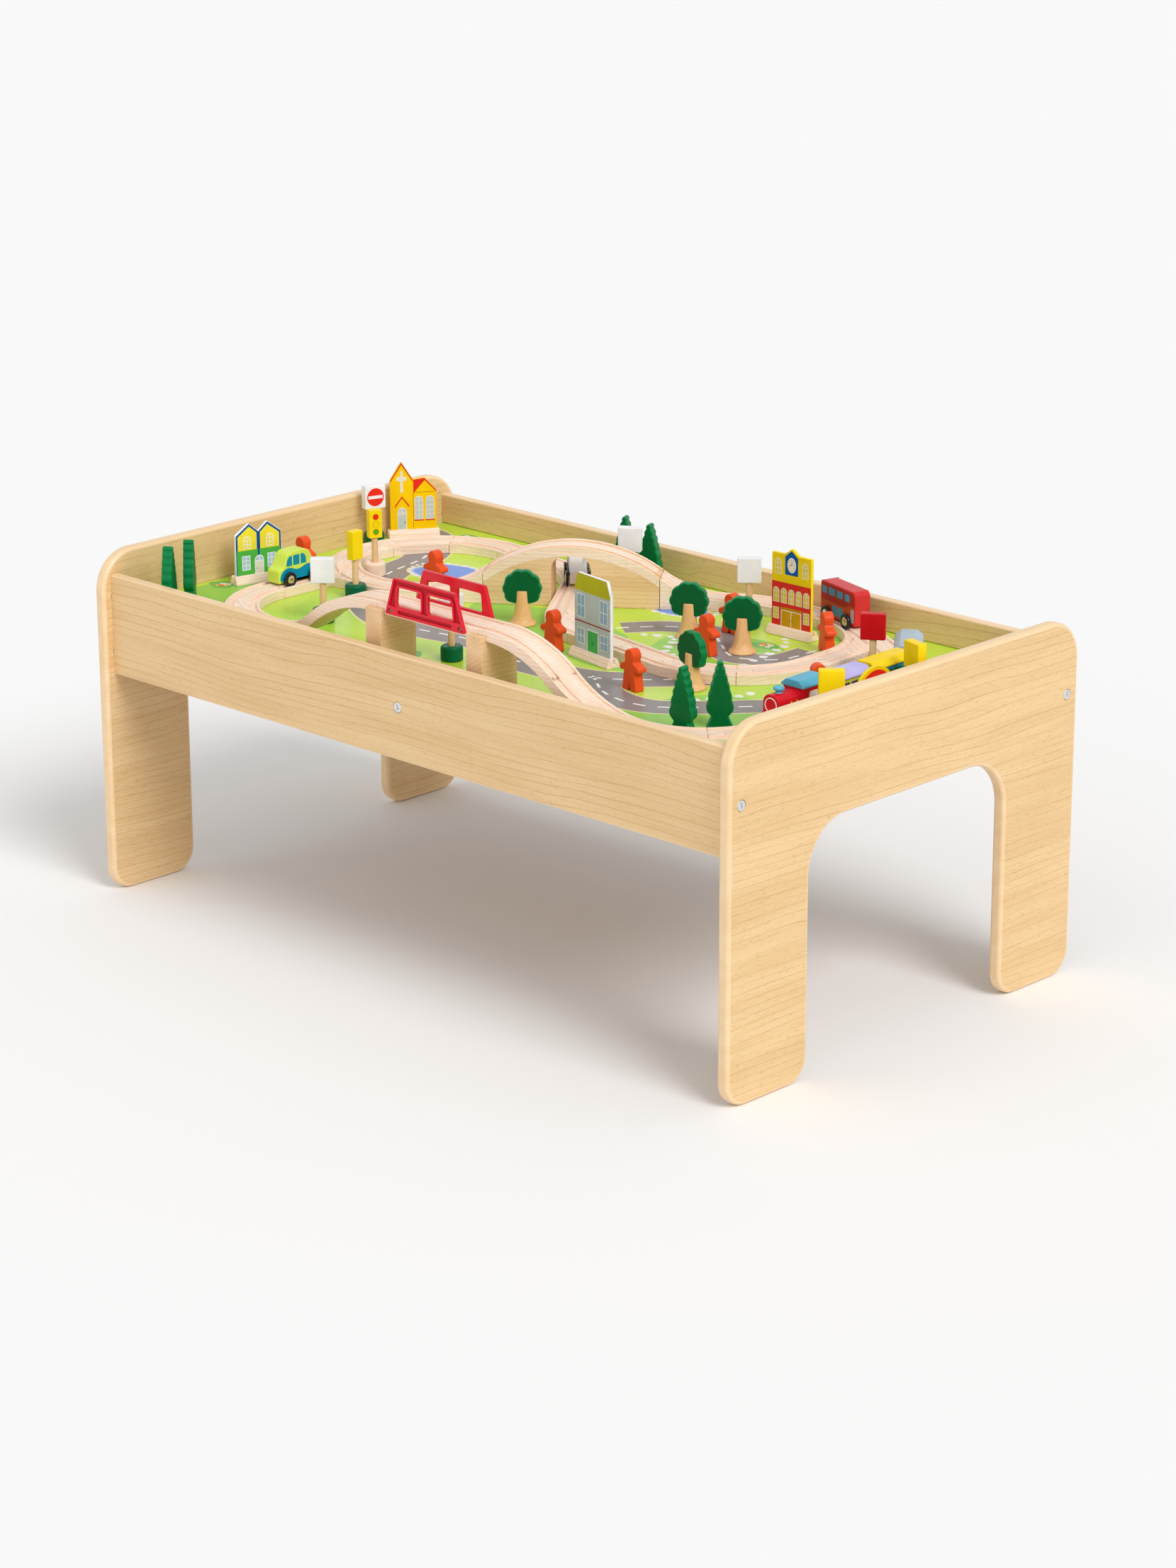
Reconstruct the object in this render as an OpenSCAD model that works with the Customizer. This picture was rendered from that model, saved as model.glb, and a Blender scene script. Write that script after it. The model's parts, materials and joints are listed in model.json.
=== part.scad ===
// Wooden train table: a tray on two end panels, a peg-and-socket railway and the toys that stand on it.
// X runs along the table, Y from front to back, Z up from the floor under the middle of the table.

/* [Table] */
// Length over the end panels
table_l = 980; // [940:5:1060]
// Depth of the end panels
table_w = 562; // [540:2:620]
// Height of the end panels
table_h = 408; // [380:2:460]
// Thickness of the end panels
panel_t = 15; // [13:0.5:20]
// Width of each leg
leg_w = 123; // [100:1:140]
// Height of the arch between the legs
leg_arch_h = 277; // [240:1:280]
// Radius of the end panels' upper corners
panel_corner_r = 46; // [30:1:60]
// Radius of the feet's corners
foot_r = 28; // [10:1:40]
// Radius of the leg arch's upper corners
leg_arch_r = 56; // [30:1:75]

/* [Tray] */
// Height of the side boards
side_board_h = 118; // [105:1:130]
// Thickness of the side boards
side_board_t = 12; // [11.5:0.5:15]
// Setback of the side boards from the end panels' edges
side_board_inset = 12; // [6:0.5:16]
// Drop from the end panels' top to the side boards' top
rim_drop = 26; // [15:0.5:40]
// Drop from the side boards' top to the play board
tray_drop = 36.5; // [30:0.5:45]
// Thickness of the play board
play_board_t = 6; // [4:0.5:8]
// Depth of the grooves that hold the play board
board_groove_d = 5; // [3:0.5:6]
// Width of the cross rail under the play board
cross_rail_w = 24; // [18:1:32]
// Height of the cross rail
cross_rail_h = 38; // [32:1:44]

/* [Fasteners] */
// Diameter of the connecting bolts
bolt_d = 6; // [5:0.5:6.5]
// Length of the bolts under their heads
bolt_l = 48; // [44:1:56]
// Diameter of the bolt heads
bolt_head_d = 12; // [10:0.5:13]
// Thickness of the bolt heads
bolt_head_t = 3; // [2:0.5:4]
// Diameter of the barrel nuts
nut_d = 10; // [9:0.5:12]
// Length of the barrel nuts
nut_l = 10; // [8:0.5:11]
// Depth of a barrel nut's axis from the joint face
nut_reach = 26; // [20:1:28]
// Diameter of the dowels
dowel_d = 8; // [6:0.5:9]
// Length of the dowels
dowel_l = 28; // [20:1:34]
// Depth that the dowels reach into the end panels
dowel_bite = 9; // [6:0.5:11]
// Distance between the two dowels of one board end
dowel_pitch = 66; // [50:1:80]

/* [Track] */
// Width of the wooden track
track_w = 40; // [38:0.5:42]
// Thickness of the track
track_t = 12; // [11:0.5:14]
// Width of a wheel groove
groove_w = 7; // [6.8:0.1:8]
// Depth of a wheel groove
groove_d = 3; // [2:0.25:3.5]
// Distance between the groove centres
rail_gauge = 26; // [25:0.5:27]
// Radius of the curves at the middle of the track
curve_r = 108; // [104:0.5:112]
// Turn of one standard curve in degrees
curve_turn = 45; // [40:1:50]
// Gap left where two pieces meet
track_gap = 0.4; // [0.2:0.1:0.6]
// Diameter of a peg's round head
peg_head_d = 12; // [10:0.5:13]
// Width of a peg's neck
peg_neck_w = 6; // [4:0.5:8]
// Distance of the head's centre from the track's end
peg_reach = 11; // [9:0.5:13]
// Clearance around a peg in its socket
peg_clear = 0.3; // [0.2:0.05:0.5]

/* [Layout] */
// Gap from the left end panel to the left line
left_line_gap = 82; // [76:1:88]
// Gap from the right end panel to the right line
right_line_gap = 47; // [42:1:54]
// Gap from the front board to the front line
front_line_gap = 17; // [12:0.5:22]
// Gap from the back board to the back line
back_line_gap = 5; // [3:0.5:8]
// Gap from the left end panel to the left loop
left_loop_gap = 37; // [32:1:42]
// Gap from the back board to the left loop
left_loop_back_gap = 41; // [36:1:46]
// Gap between the right loop and the right line
right_loop_gap = 84; // [80:1:90]
// Gap from the back board to the right loop
right_loop_back_gap = 47; // [42:1:52]
// Heading of the arch bridge in degrees
bridge_heading = 36; // [34:0.5:38]
// Heading of the yard switch's straight arm in degrees
yard_heading = 29; // [26:0.5:32]

/* [Overpass] */
// Length of the overpass deck
deck_l = 155; // [140:1:170]
// Height of the deck's underside over the play board
deck_rise = 66; // [58:1:74]
// Size of a pier along the track
pier_w = 24; // [20:1:30]
// Wood of a pier's cheek beside the deck
pier_cheek_t = 6; // [4:0.5:8]
// Height of a pier's cheeks over the deck's underside
pier_cheek_h = 6; // [4:0.5:10]
// Length of a railing at its foot
railing_l = 122; // [110:1:126]
// Length of a railing at its top
railing_top_l = 95; // [80:1:105]
// Height of a railing
railing_h = 42; // [36:1:50]
// Thickness of a railing
railing_t = 4; // [3:0.25:5]
// Width of a railing's bars
railing_bar_w = 7; // [5:0.5:9]
// Height of a railing's foot over the deck's underside
railing_lift = 3; // [1:0.5:4]
// Diameter of a railing screw's head
screw_head_d = 6; // [4:0.5:7]
// Diameter of a railing screw
screw_d = 3; // [2:0.25:3.5]
// Length of a railing screw in the deck
screw_l = 9; // [6:0.5:10]

/* [Arch bridge] */
// Length of the middle block
arch_block_l = 204; // [190:1:216]
// Height of the bridge's crown over the play board
bridge_h = 70; // [64:1:76]
// Width of the arch opening
arch_w = 46; // [45.5:0.5:52]
// Height of the arch opening
arch_h = 60; // [56:0.5:61]
// Radius of the arch's upper corners
arch_corner_r = 18; // [10:1:22]

/* [Wheels] */
// Diameter of the wheels
wheel_d = 18; // [17:0.5:20]
// Width of a wheel
wheel_t = 3.4; // [3:0.1:3.6]
// Diameter of an axle
axle_d = 4; // [3:0.25:5]
// Running clearance of an axle in its bore
axle_clear = 0.05; // [0.02:0.01:0.08]
// Gap between a wheel and the groove's floor
wheel_clear = 0.3; // [0.2:0.05:0.5]
// Gap between a wheel and the wood beside it
wheel_side_clear = 0.7; // [0.5:0.1:1]
// Diameter of a wheel's hub
hub_d = 8; // [6:0.5:9]
// Height of a hub over its wheel
hub_h = 1; // [0.6:0.1:1.5]

/* [Train] */
// Length of the locomotive
loco_l = 76; // [70:1:78]
// Width of the locomotive's cab and of the wagons
wagon_w = 28; // [24:0.5:29]
// Length of a wagon's body
wagon_l = 62; // [56:1:63]
// Distance between the axles of a wagon
wagon_base = 34; // [30:0.5:36]
// Distance between the axles of the locomotive
loco_base = 40; // [34:0.5:42]
// More room for the last wagon, which stands on the curve
corner_slack = 6; // [5:0.5:9]
// Height of a wagon's roof over the play board
wagon_h = 50.5; // [47:0.5:56]
// Thickness of a roof
roof_t = 8; // [6:0.5:9]
// Overhang of a roof
roof_lip = 1.6; // [1:0.1:1.9]
// Height of the cab's roof over the play board
cab_h = 55; // [52:0.5:64]
// Length of the cab
cab_l = 36; // [28:0.5:38]
// Width and height of the boiler
boiler_w = 22; // [18:0.5:24]
// Diameter of the chimney
chimney_d = 12; // [9:0.5:14]
// Height of the chimney over the boiler
chimney_h = 7; // [5:0.5:13]
// Diameter of a coupling magnet
magnet_d = 8; // [6:0.5:9]
// Length of a coupling magnet
magnet_l = 3.5; // [1:0.1:4]
// Gap between the magnets of two vehicles
magnet_gap = 1; // [0.6:0.1:1.5]

/* [Road vehicles] */
// Width of the cars and the bus
car_w = 20.5; // [18:0.5:21]
// Length of the cars
car_l = 68; // [62:1:72]
// Height of the small car over the play board
car_h = 50; // [46:0.5:54]
// Height of the patrol car over the play board
patrol_h = 46; // [42:0.5:50]
// Distance between the axles of a car
car_base = 38; // [34:0.5:40]
// Length of the bus
bus_l = 70; // [66:1:74]
// Height of the bus over the play board
bus_h = 54; // [50:0.5:60]
// Distance between the axles of the bus
bus_base = 40; // [36:0.5:41]

/* [Town] */
// Thickness of the house fronts
front_t = 4; // [3:0.5:6]
// Width of a slotted bar at its foot
bar_w = 18; // [14:0.5:20]
// Height of a slotted bar
bar_h = 11; // [9:0.5:14]
// Depth of the slot that holds a front
bar_slot_d = 6; // [4:0.5:7]
// Width of the hospital front
hospital_w = 66; // [56:1:70]
// Height of the hospital front over the play board
hospital_h = 96; // [88:1:110]
// Width of the school front
school_w = 57; // [50:1:64]
// Height of the school's gable over the play board
school_h = 101; // [90:1:110]
// Width of the church front
church_w = 57; // [50:1:62]
// Height of the church's spire over the play board
church_h = 95; // [86:1:104]
// Width of the twin house front
house_w = 60; // [52:1:64]
// Height of the twin house's gables over the play board
house_h = 72; // [64:1:80]
// Width of the round-topped shed front
shed_w = 62; // [54:1:66]
// Height of the shed front over the play board
shed_h = 62; // [56:1:68]
// Height of a cypress
cypress_h = 72; // [64:1:80]
// Width of a cypress
cypress_w = 28.5; // [24:0.5:34]
// Thickness of a cypress
cypress_t = 12; // [9:0.5:14]
// Height of a round tree
tree_h = 62; // [54:1:70]
// Width of a round tree's crown
crown_w = 44; // [38:0.5:48]
// Thickness of a crown
crown_t = 9; // [7:0.5:10]
// Diameter of a trunk's foot
trunk_d = 31; // [26:0.5:34]
// Diameter of a trunk's top
trunk_top_d = 15; // [13:0.5:18]
// Height of a trunk
trunk_h = 40; // [34:0.5:44]
// Depth of the slot that holds a crown
trunk_slot_d = 14; // [10:0.5:18]
// Height of a person
person_h = 46; // [40:0.5:52]
// Thickness of a person
person_t = 12; // [8:0.5:14]

/* [Signs] */
// Width of a square sign
sign_w = 27; // [22:0.5:30]
// Height of a square sign
sign_h = 29; // [24:0.5:32]
// Thickness of a sign
sign_t = 11; // [8:0.5:12]
// Width of a light's block
light_w = 16; // [13:0.5:20]
// Height of a light's block
light_h = 34; // [28:0.5:38]
// Height of the signs' lower edges over the play board
sign_lift = 46; // [40:0.5:50]
// Diameter of a sign's post
post_d = 7.5; // [6:0.25:9]
// Diameter of a sign's base
base_d = 25; // [22:0.5:30]
// Height of a sign's base
base_h = 17; // [13:0.5:20]

/* [Clearances] */
// Length that a cut runs past the wood it cuts
overrun = 1; // [0.5:0.1:2]
// Clearance of the play board in its grooves and of the track on its piers
wood_clear = 0.3; // [0.2:0.05:0.5]
// Radial clearance of a bolt in its bore
bolt_clear = 0.2; // [0.1:0.05:0.4]
// Radial clearance of a bolt head in its counterbore
head_clear = 0.5; // [0.3:0.1:0.8]
// Radial clearance of a bolt in its barrel nut
thread_clear = 0.05; // [0.02:0.01:0.08]
// Radial clearance of a dowel, a post or a screw in its bore
dowel_clear = 0.05; // [0.02:0.01:0.08]
// Narrowing of a switch's branch on each side, so that it leaves the main curve cleanly
switch_ease = 0.3; // [0.2:0.05:0.4]
// Clearance beside a front or a crown in its slot
bar_fit = 0.1; // [0.05:0.05:0.2]
// Gap between a chassis and the track's top
chassis_clear = 2.5; // [2:0.1:3]

/* [Hidden] */
$fn = 64;

// Heights and inner sizes of the tray
side_board_top = table_h - rim_drop;
side_board_bottom = side_board_top - side_board_h;
board_top = side_board_top - tray_drop;
board_bottom = board_top - play_board_t;
half_l = table_l / 2 - panel_t;
board_face_y = table_w / 2 - side_board_inset;
half_w = board_face_y - side_board_t;
board_mid_y = board_face_y - side_board_t / 2;
bolt_z = (side_board_top + side_board_bottom) / 2;
counterbore_d = bolt_head_d + 2 * head_clear;
nut_bore_d = nut_d + 2 * dowel_clear;

// Lines and centres of the railway, all at the middle of the track, in the toys' own size: a tray
// with less length or width than these shares of the curve radius gets a smaller set of toys
railway_shares = [8.79, 4.75];
toy_scale = min(1, 2 * half_l / curve_r / railway_shares.x, 2 * half_w / curve_r / railway_shares.y);
toy_half_l = half_l / toy_scale;
toy_half_w = half_w / toy_scale;
left_x = -toy_half_l + left_line_gap + track_w / 2;
right_x = toy_half_l - right_line_gap - track_w / 2;
front_y = -toy_half_w + front_line_gap + track_w / 2;
back_y = toy_half_w - back_line_gap - track_w / 2;
outer_r = curve_r + track_w / 2;
left_loop = [-toy_half_l + left_loop_gap + outer_r, toy_half_w - left_loop_back_gap - outer_r];
right_loop = [right_x - track_w / 2 - right_loop_gap - outer_r, toy_half_w - right_loop_back_gap - outer_r];
front_left = [left_x + curve_r, front_y + curve_r];
front_right = [right_x - curve_r, front_y + curve_r];
under_heading = bridge_heading - 90;
shallow_heading = under_heading + curve_turn;
gap_turn = track_gap / curve_r * 180 / PI;
quarter_turn = 90;

// Plane geometry of the route
function way(h) = [cos(h), sin(h)];
function cross2(a, b) = a.x * b.y - a.y * b.x;
function left_step(h, a) = curve_r * [sin(h + a) - sin(h), cos(h) - cos(h + a)];
function right_step(h, a) = curve_r * [sin(h) - sin(h - a), cos(h - a) - cos(h)];
function reach(from, h, to, line) = cross2(to - from, way(line)) / cross2(way(h), way(line));

// The arch bridge leaves the left loop on a tangent and meets the back line through a curve
bridge_foot = left_loop + curve_r * way(bridge_heading - 90);
bridge_end_y = back_y - curve_r * (1 - cos(bridge_heading));
bridge_l = (bridge_end_y - bridge_foot.y) / sin(bridge_heading);
bridge_end = bridge_foot + bridge_l * way(bridge_heading);
bridge_mid = (bridge_foot + bridge_end) / 2;
bridge_ramp_l = (bridge_l - arch_block_l) / 2;
bridge_rise = bridge_h - track_t;
bridge_slope = 2 * atan(bridge_rise / (bridge_l / 2));
crown_r = arch_block_l / 2 / sin(bridge_slope);
sag_r = bridge_ramp_l / sin(bridge_slope);
back_start = bridge_end + right_step(bridge_heading, bridge_heading);

// The line under the bridge, from the left loop to the right loop
loop_leave = left_loop + curve_r * way(shallow_heading + 90);
dip_step = right_step(shallow_heading, curve_turn);
rise_step = left_step(under_heading, curve_turn);
upper_l = reach(loop_leave + dip_step, shallow_heading, bridge_mid, under_heading);
dip_start = loop_leave + upper_l * way(shallow_heading);
under_start = dip_start + dip_step;
dip_centre = dip_start + curve_r * way(shallow_heading - 90);
loop_enter = right_loop + curve_r * way(shallow_heading - 90);
under_l = reach(under_start + rise_step, under_heading, loop_enter, shallow_heading);
under_end = under_start + under_l * way(under_heading);
lower_start = under_end + rise_step;
lower_l = norm(loop_enter - lower_start);
right_loop_turn = 90 - shallow_heading;

// The loop switch joins the left line to the left loop
loop_switch_turn = acos((left_loop.x - left_x + curve_r) / (2 * curve_r));
loop_switch_y = left_loop.y - 2 * curve_r * sin(loop_switch_turn);
loop_switch_top = shallow_heading + 90 + 2 * curve_turn;
loop_switch_end = loop_switch_top + 2 * curve_turn;

// The yard switch joins the back line to the right loop and, by its straight arm, to the right line
yard_centre = [right_loop.x, back_y - curve_r];
yard_fork = yard_centre + curve_r * way(90 - yard_heading);
yard_arm_l = (right_x - curve_r * (1 - sin(yard_heading)) - yard_fork.x) / cos(yard_heading);
yard_arm_end = yard_fork + yard_arm_l * way(-yard_heading);
corner_turn = 90 - yard_heading;
corner_centre = yard_arm_end + curve_r * way(-yard_heading - 90);

// The overpass stands in the middle of the front line
deck_mid = [(front_left.x + front_right.x) / 2, front_y];
ramp_l = (front_right.x - front_left.x - deck_l) / 2;
ramp_landing_l = pier_w / 2 + track_gap;
ramp_curve_l = ramp_l - ramp_landing_l;
ramp_slope = 2 * atan(deck_rise / ramp_curve_l);
ramp_r = ramp_curve_l / 2 / sin(ramp_slope);
groove_edges = [-(rail_gauge + groove_w) / 2, (rail_gauge - groove_w) / 2];
pier_d = track_w + 2 * (pier_cheek_t + wood_clear);

// Where an axle stands over the play board, and how wide a chassis fits between the wheels
axle_z = track_t - groove_d + wheel_clear + wheel_d / 2;
chassis_w = rail_gauge - wheel_t - 2 * wheel_side_clear;
wheel_pocket_r = wheel_d / 2 + wheel_side_clear;
chassis_z = track_t + chassis_clear;

// The train stands on the right line, its last wagon on the curve
right_l = corner_centre.y - front_right.y;
function train_point(s) =
    s <= right_l
        ? [right_x, front_right.y + s]
        : corner_centre + curve_r * way((s - right_l) / curve_r * 180 / PI);
function on_rails(s, base) =
    let (front = train_point(s - base / 2), rear = train_point(s + base / 2))
    [(front + rear) / 2, atan2(front.y - rear.y, front.x - rear.x)];
loco_lead_share = 0.1;
loco_s = loco_l / 2 - loco_lead_share * curve_r * 2;
train_gap = 2 * magnet_l + magnet_gap;
wagon_pitch = wagon_l + train_gap;
first_wagon_s = loco_s + loco_l / 2 + train_gap + wagon_l / 2;
loco_place = on_rails(loco_s, loco_base);
wagon_runs = [first_wagon_s, first_wagon_s + wagon_pitch, first_wagon_s + 2 * wagon_pitch + corner_slack];
wagon_places = [for (s = wagon_runs) on_rails(s, wagon_base)];

// The car stands on the left line, the patrol car and the bus on their curves
car_place = [[left_x, (front_left.y + loop_switch_y) / 2], -90];
patrol_angle_share = 0.25;
patrol_angle = under_heading + 90 + patrol_angle_share * curve_turn;
function on_curve(centre, angle, base, turn) =
    [centre + sqrt(curve_r * curve_r - base * base / 4) * way(angle), angle + turn];
patrol_place = on_curve(dip_centre, patrol_angle, car_base, -90);
bus_angle_share = 0.82;
bus_angle = bus_angle_share * 90;
bus_place = on_curve(yard_centre, bus_angle, bus_base, -90);

// Places of the loose pieces: anchor, shares of the curve radius from it, heading in degrees
view_heading = 44;
front_shares = [
    [left_loop, -1.287, 0.888, 56],
    [front_left, -1.546, 0.269, 76],
    [right_loop, -0.849, -1.248, -10],
    [right_loop, 0, 0.815, 1],
    [front_right, 1.41, 0.88, 90]
];
front_widths = [church_w, house_w, hospital_w, school_w, shed_w];
cypress_shares = [
    [front_left, -1.444, -1.074, -55],
    [front_left, -1.5, -0.741, -48],
    [bridge_mid, -0.343, 1.167, 25],
    [bridge_mid, 0.083, 1.102, 20],
    [front_right, 0.296, -0.606, 10],
    [front_right, 0.426, -0.231, 45]
];
tree_shares = [
    [bridge_mid, 0.22, -0.988, 40],
    [right_loop, -0.754, 0.067, 30],
    [right_loop, 0.011, 0.034, 35],
    [right_loop, 0.509, -1.259, -11]
];
person_shares = [
    [right_loop, -1.437, -1.232, -6],
    [front_right, -1.032, 0.101, -8],
    [right_loop, -0.198, -0.272, -4],
    [right_loop, 0.634, 0.625, -30],
    [right_loop, -0.537, 0.491, 0],
    [left_loop, -1.0, -1.037, 0],
    [left_loop, 0.481, -0.463, -4],
    [front_right, 0.63, 0.963, 60]
];
square_sign_shares = [
    [front_left, 0.157, -0.333, view_heading],
    [left_loop, -1.355, 0.347, 72],
    [deck_mid, -0.468, 0.602, view_heading],
    [bridge_mid, 0.093, 0.778, 30],
    [right_loop, -0.704, 0.935, 40],
    [right_loop, 1.616, 0.182, 35],
    [front_right, 1.447, 0.208, view_heading],
    [front_right, 1.425, 1.47, -16]
];
light_shares = [
    [front_left, -0.295, 0.545, 92],
    [left_loop, -0.398, -0.537, 66]
];
function spot(row) = row[0] + curve_r * [row[1], row[2]];

// Placing and small shared shapes
module on_tray(rise) {
    translate([0, 0, board_top])
        scale(toy_scale)
            translate([0, 0, rise])
                children();
}
module at_spot(row) {
    on_tray(0)
        translate(spot(row))
            rotate(row[3])
                children();
}
module on_board(p, heading) {
    on_tray(0)
        translate(p)
            rotate(heading)
                children();
}
module corner_cut(r) {
    difference() {
        translate([-overrun, -overrun])
            square(r + overrun);
        translate([r, r])
            circle(r);
    }
}
module round_rect(w, h, low_r, high_r) {
    difference() {
        translate([-w / 2, 0])
            square([w, h]);
        for (s = [0, 1])
            mirror([s, 0]) {
                translate([-w / 2, 0])
                    corner_cut(low_r);
                translate([-w / 2, h])
                    mirror([0, 1])
                        corner_cut(high_r);
            }
    }
}
module upright(t) {
    rotate([90, 0, 0])
        translate([0, 0, -t / 2])
            linear_extrude(t)
                children();
}

// Table: end panels, side boards, play board and cross rail
module panel_outline() {
    difference() {
        round_rect(table_w, table_h, foot_r, panel_corner_r);
        translate([0, -overrun])
            round_rect(table_w - 2 * leg_w, leg_arch_h + overrun, 0, leg_arch_r);
        for (s = [0, 1])
            mirror([s, 0])
                translate([table_w / 2 - leg_w, 0])
                    corner_cut(foot_r);
    }
}
module end_panel(side) {
    difference() {
        translate([side > 0 ? half_l : -half_l - panel_t, 0, 0])
            rotate([90, 0, 90])
                linear_extrude(panel_t)
                    panel_outline();
        for (y = [-board_mid_y, board_mid_y]) {
            translate([0, y, bolt_z])
                mirror([side > 0 ? 0 : 1, 0, 0]) {
                    translate([half_l - overrun, 0, 0])
                        rotate([0, 90, 0])
                            cylinder(d = bolt_d + 2 * bolt_clear, h = panel_t + 2 * overrun);
                    translate([half_l + panel_t - bolt_head_t, 0, 0])
                        rotate([0, 90, 0])
                            cylinder(d = counterbore_d, h = bolt_head_t + overrun);
                }
            for (dz = [-dowel_pitch / 2, dowel_pitch / 2])
                translate([side * half_l, y, bolt_z + dz])
                    rotate([0, side * 90, 0])
                        translate([0, 0, -overrun])
                            cylinder(d = dowel_d + 2 * dowel_clear, h = dowel_bite + overrun);
        }
    }
}
module left_end_panel() {
    color("burlywood") end_panel(-1);
}
module right_end_panel() {
    color("burlywood") end_panel(1);
}
module side_board(side) {
    difference() {
        translate([-half_l, side > 0 ? half_w : -board_face_y, side_board_bottom])
            cube([2 * half_l, side_board_t, side_board_h]);
        translate([-half_l - overrun, groove_low_y(side), board_bottom - wood_clear])
            cube([2 * half_l + 2 * overrun, board_groove_d + overrun, play_board_t + 2 * wood_clear]);
        for (m = [0, 1])
            mirror([m, 0, 0])
                board_end_bores(side * board_mid_y);
        translate([0, side * half_w, bolt_z])
            rotate([side * -90, 0, 0]) {
                translate([0, 0, -overrun])
                    cylinder(d = bolt_d + 2 * bolt_clear, h = side_board_t + 2 * overrun);
                translate([0, 0, side_board_t - bolt_head_t])
                    cylinder(d = counterbore_d, h = bolt_head_t + overrun);
            }
    }
}
function groove_low_y(side) = side > 0 ? half_w - overrun : -half_w - board_groove_d;
module board_end_bores(y) {
    translate([half_l, y, bolt_z])
        rotate([0, -90, 0]) {
            translate([0, 0, -overrun])
                cylinder(d = bolt_d + 2 * bolt_clear, h = bolt_l + overrun);
            for (dz = [-dowel_pitch / 2, dowel_pitch / 2])
                translate([dz, 0, -overrun])
                    cylinder(d = dowel_d + 2 * dowel_clear, h = dowel_l - dowel_bite + 2 * overrun);
        }
    translate([half_l - nut_reach, y, bolt_z])
        rotate([90, 0, 0])
            cylinder(d = nut_bore_d, h = side_board_t + 2 * overrun, center = true);
}
module front_side_board() {
    color("burlywood") side_board(-1);
}
module back_side_board() {
    color("burlywood") side_board(1);
}
module play_board() {
    board_l = 2 * (half_l - wood_clear);
    board_w = 2 * (half_w + board_groove_d - wood_clear);
    color("yellowgreen")
        translate([-board_l / 2, -board_w / 2, board_bottom])
            cube([board_l, board_w, play_board_t]);
}
module cross_rail() {
    color("tan")
        difference() {
            translate([-cross_rail_w / 2, -half_w, board_bottom - cross_rail_h])
                cube([cross_rail_w, 2 * half_w, cross_rail_h]);
            for (s = [0, 1])
                mirror([0, s, 0]) {
                    translate([0, half_w + overrun, bolt_z])
                        rotate([90, 0, 0])
                            cylinder(d = bolt_d + 2 * bolt_clear, h = bolt_l + overrun);
                    translate([0, half_w - nut_reach, bolt_z])
                        rotate([0, 90, 0])
                            cylinder(d = nut_bore_d, h = cross_rail_w + 2 * overrun, center = true);
                }
        }
}
module bolt() {
    cylinder(d = bolt_d, h = bolt_l);
    translate([0, 0, -bolt_head_t])
        cylinder(d = bolt_head_d, h = bolt_head_t);
}
module bolts() {
    color("silver") {
        for (m = [0, 1], y = [-board_mid_y, board_mid_y])
            mirror([m, 0, 0])
                translate([half_l + panel_t, y, bolt_z])
                    rotate([0, -90, 0])
                        translate([0, 0, bolt_head_t])
                            bolt();
        for (s = [-1, 1])
            translate([0, s * board_face_y, bolt_z])
                rotate([s * 90, 0, 0])
                    translate([0, 0, bolt_head_t])
                        bolt();
    }
}
module barrel_nut() {
    difference() {
        cylinder(d = nut_d, h = nut_l, center = true);
        rotate([90, 0, 0])
            cylinder(d = bolt_d + 2 * thread_clear, h = nut_d + 2 * overrun, center = true);
    }
}
module barrel_nuts() {
    color("gray") {
        for (m = [0, 1], y = [-board_mid_y, board_mid_y])
            mirror([m, 0, 0])
                translate([half_l - nut_reach, y, bolt_z])
                    rotate([90, 0, 0])
                        rotate(90)
                            barrel_nut();
        for (s = [-1, 1])
            translate([0, s * (half_w - nut_reach), bolt_z])
                rotate([0, 90, 0])
                    barrel_nut();
    }
}
module dowels() {
    color("wheat")
        for (m = [0, 1], y = [-board_mid_y, board_mid_y], dz = [-dowel_pitch / 2, dowel_pitch / 2])
            mirror([m, 0, 0])
                translate([half_l + dowel_bite, y, bolt_z + dz])
                    rotate([0, -90, 0])
                        cylinder(d = dowel_d, h = dowel_l);
}

// Track: a piece starts at the origin, heads along +X and ends in a peg; its start holds a socket
module blank_section(w = track_w) {
    translate([-w / 2, 0])
        square([w, track_t]);
}
module groove_section(w = groove_w) {
    for (s = [-1, 1])
        translate([s * rail_gauge / 2 - w / 2, track_t - groove_d])
            square([w, groove_d + overrun]);
}
module along(l) {
    rotate([90, 0, 90])
        linear_extrude(l)
            children();
}
module around(turn) {
    translate([0, curve_r, 0])
        rotate(-90)
            rotate_extrude(angle = turn, $fn = 128)
                translate([curve_r, 0])
                    mirror([1, 0])
                        children();
}
module peg(extra, h) {
    translate([-overrun, -peg_neck_w / 2 - extra, 0])
        cube([peg_reach + overrun, peg_neck_w + 2 * extra, h]);
    translate([peg_reach, 0, 0])
        cylinder(d = peg_head_d + 2 * extra, h = h);
}
module socket() {
    translate([0, 0, -overrun])
        peg(peg_clear, track_t + 2 * overrun);
}
module straight_piece(l) {
    difference() {
        union() {
            along(l - track_gap)
                blank_section();
            translate([l, 0, 0])
                peg(0, track_t);
        }
        translate([-overrun, 0, 0])
            along(l + 2 * overrun)
                groove_section();
        socket();
    }
}
module left_curve_piece(turn) {
    difference() {
        union() {
            around(turn - gap_turn)
                blank_section();
            turned(turn)
                peg(0, track_t);
        }
        around(turn)
            groove_section();
        socket();
    }
}
module turned(turn) {
    translate([left_step(0, turn).x, left_step(0, turn).y, 0])
        rotate(turn)
            children();
}
module right_curve_piece(turn) {
    mirror([0, 1, 0])
        left_curve_piece(turn);
}
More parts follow.
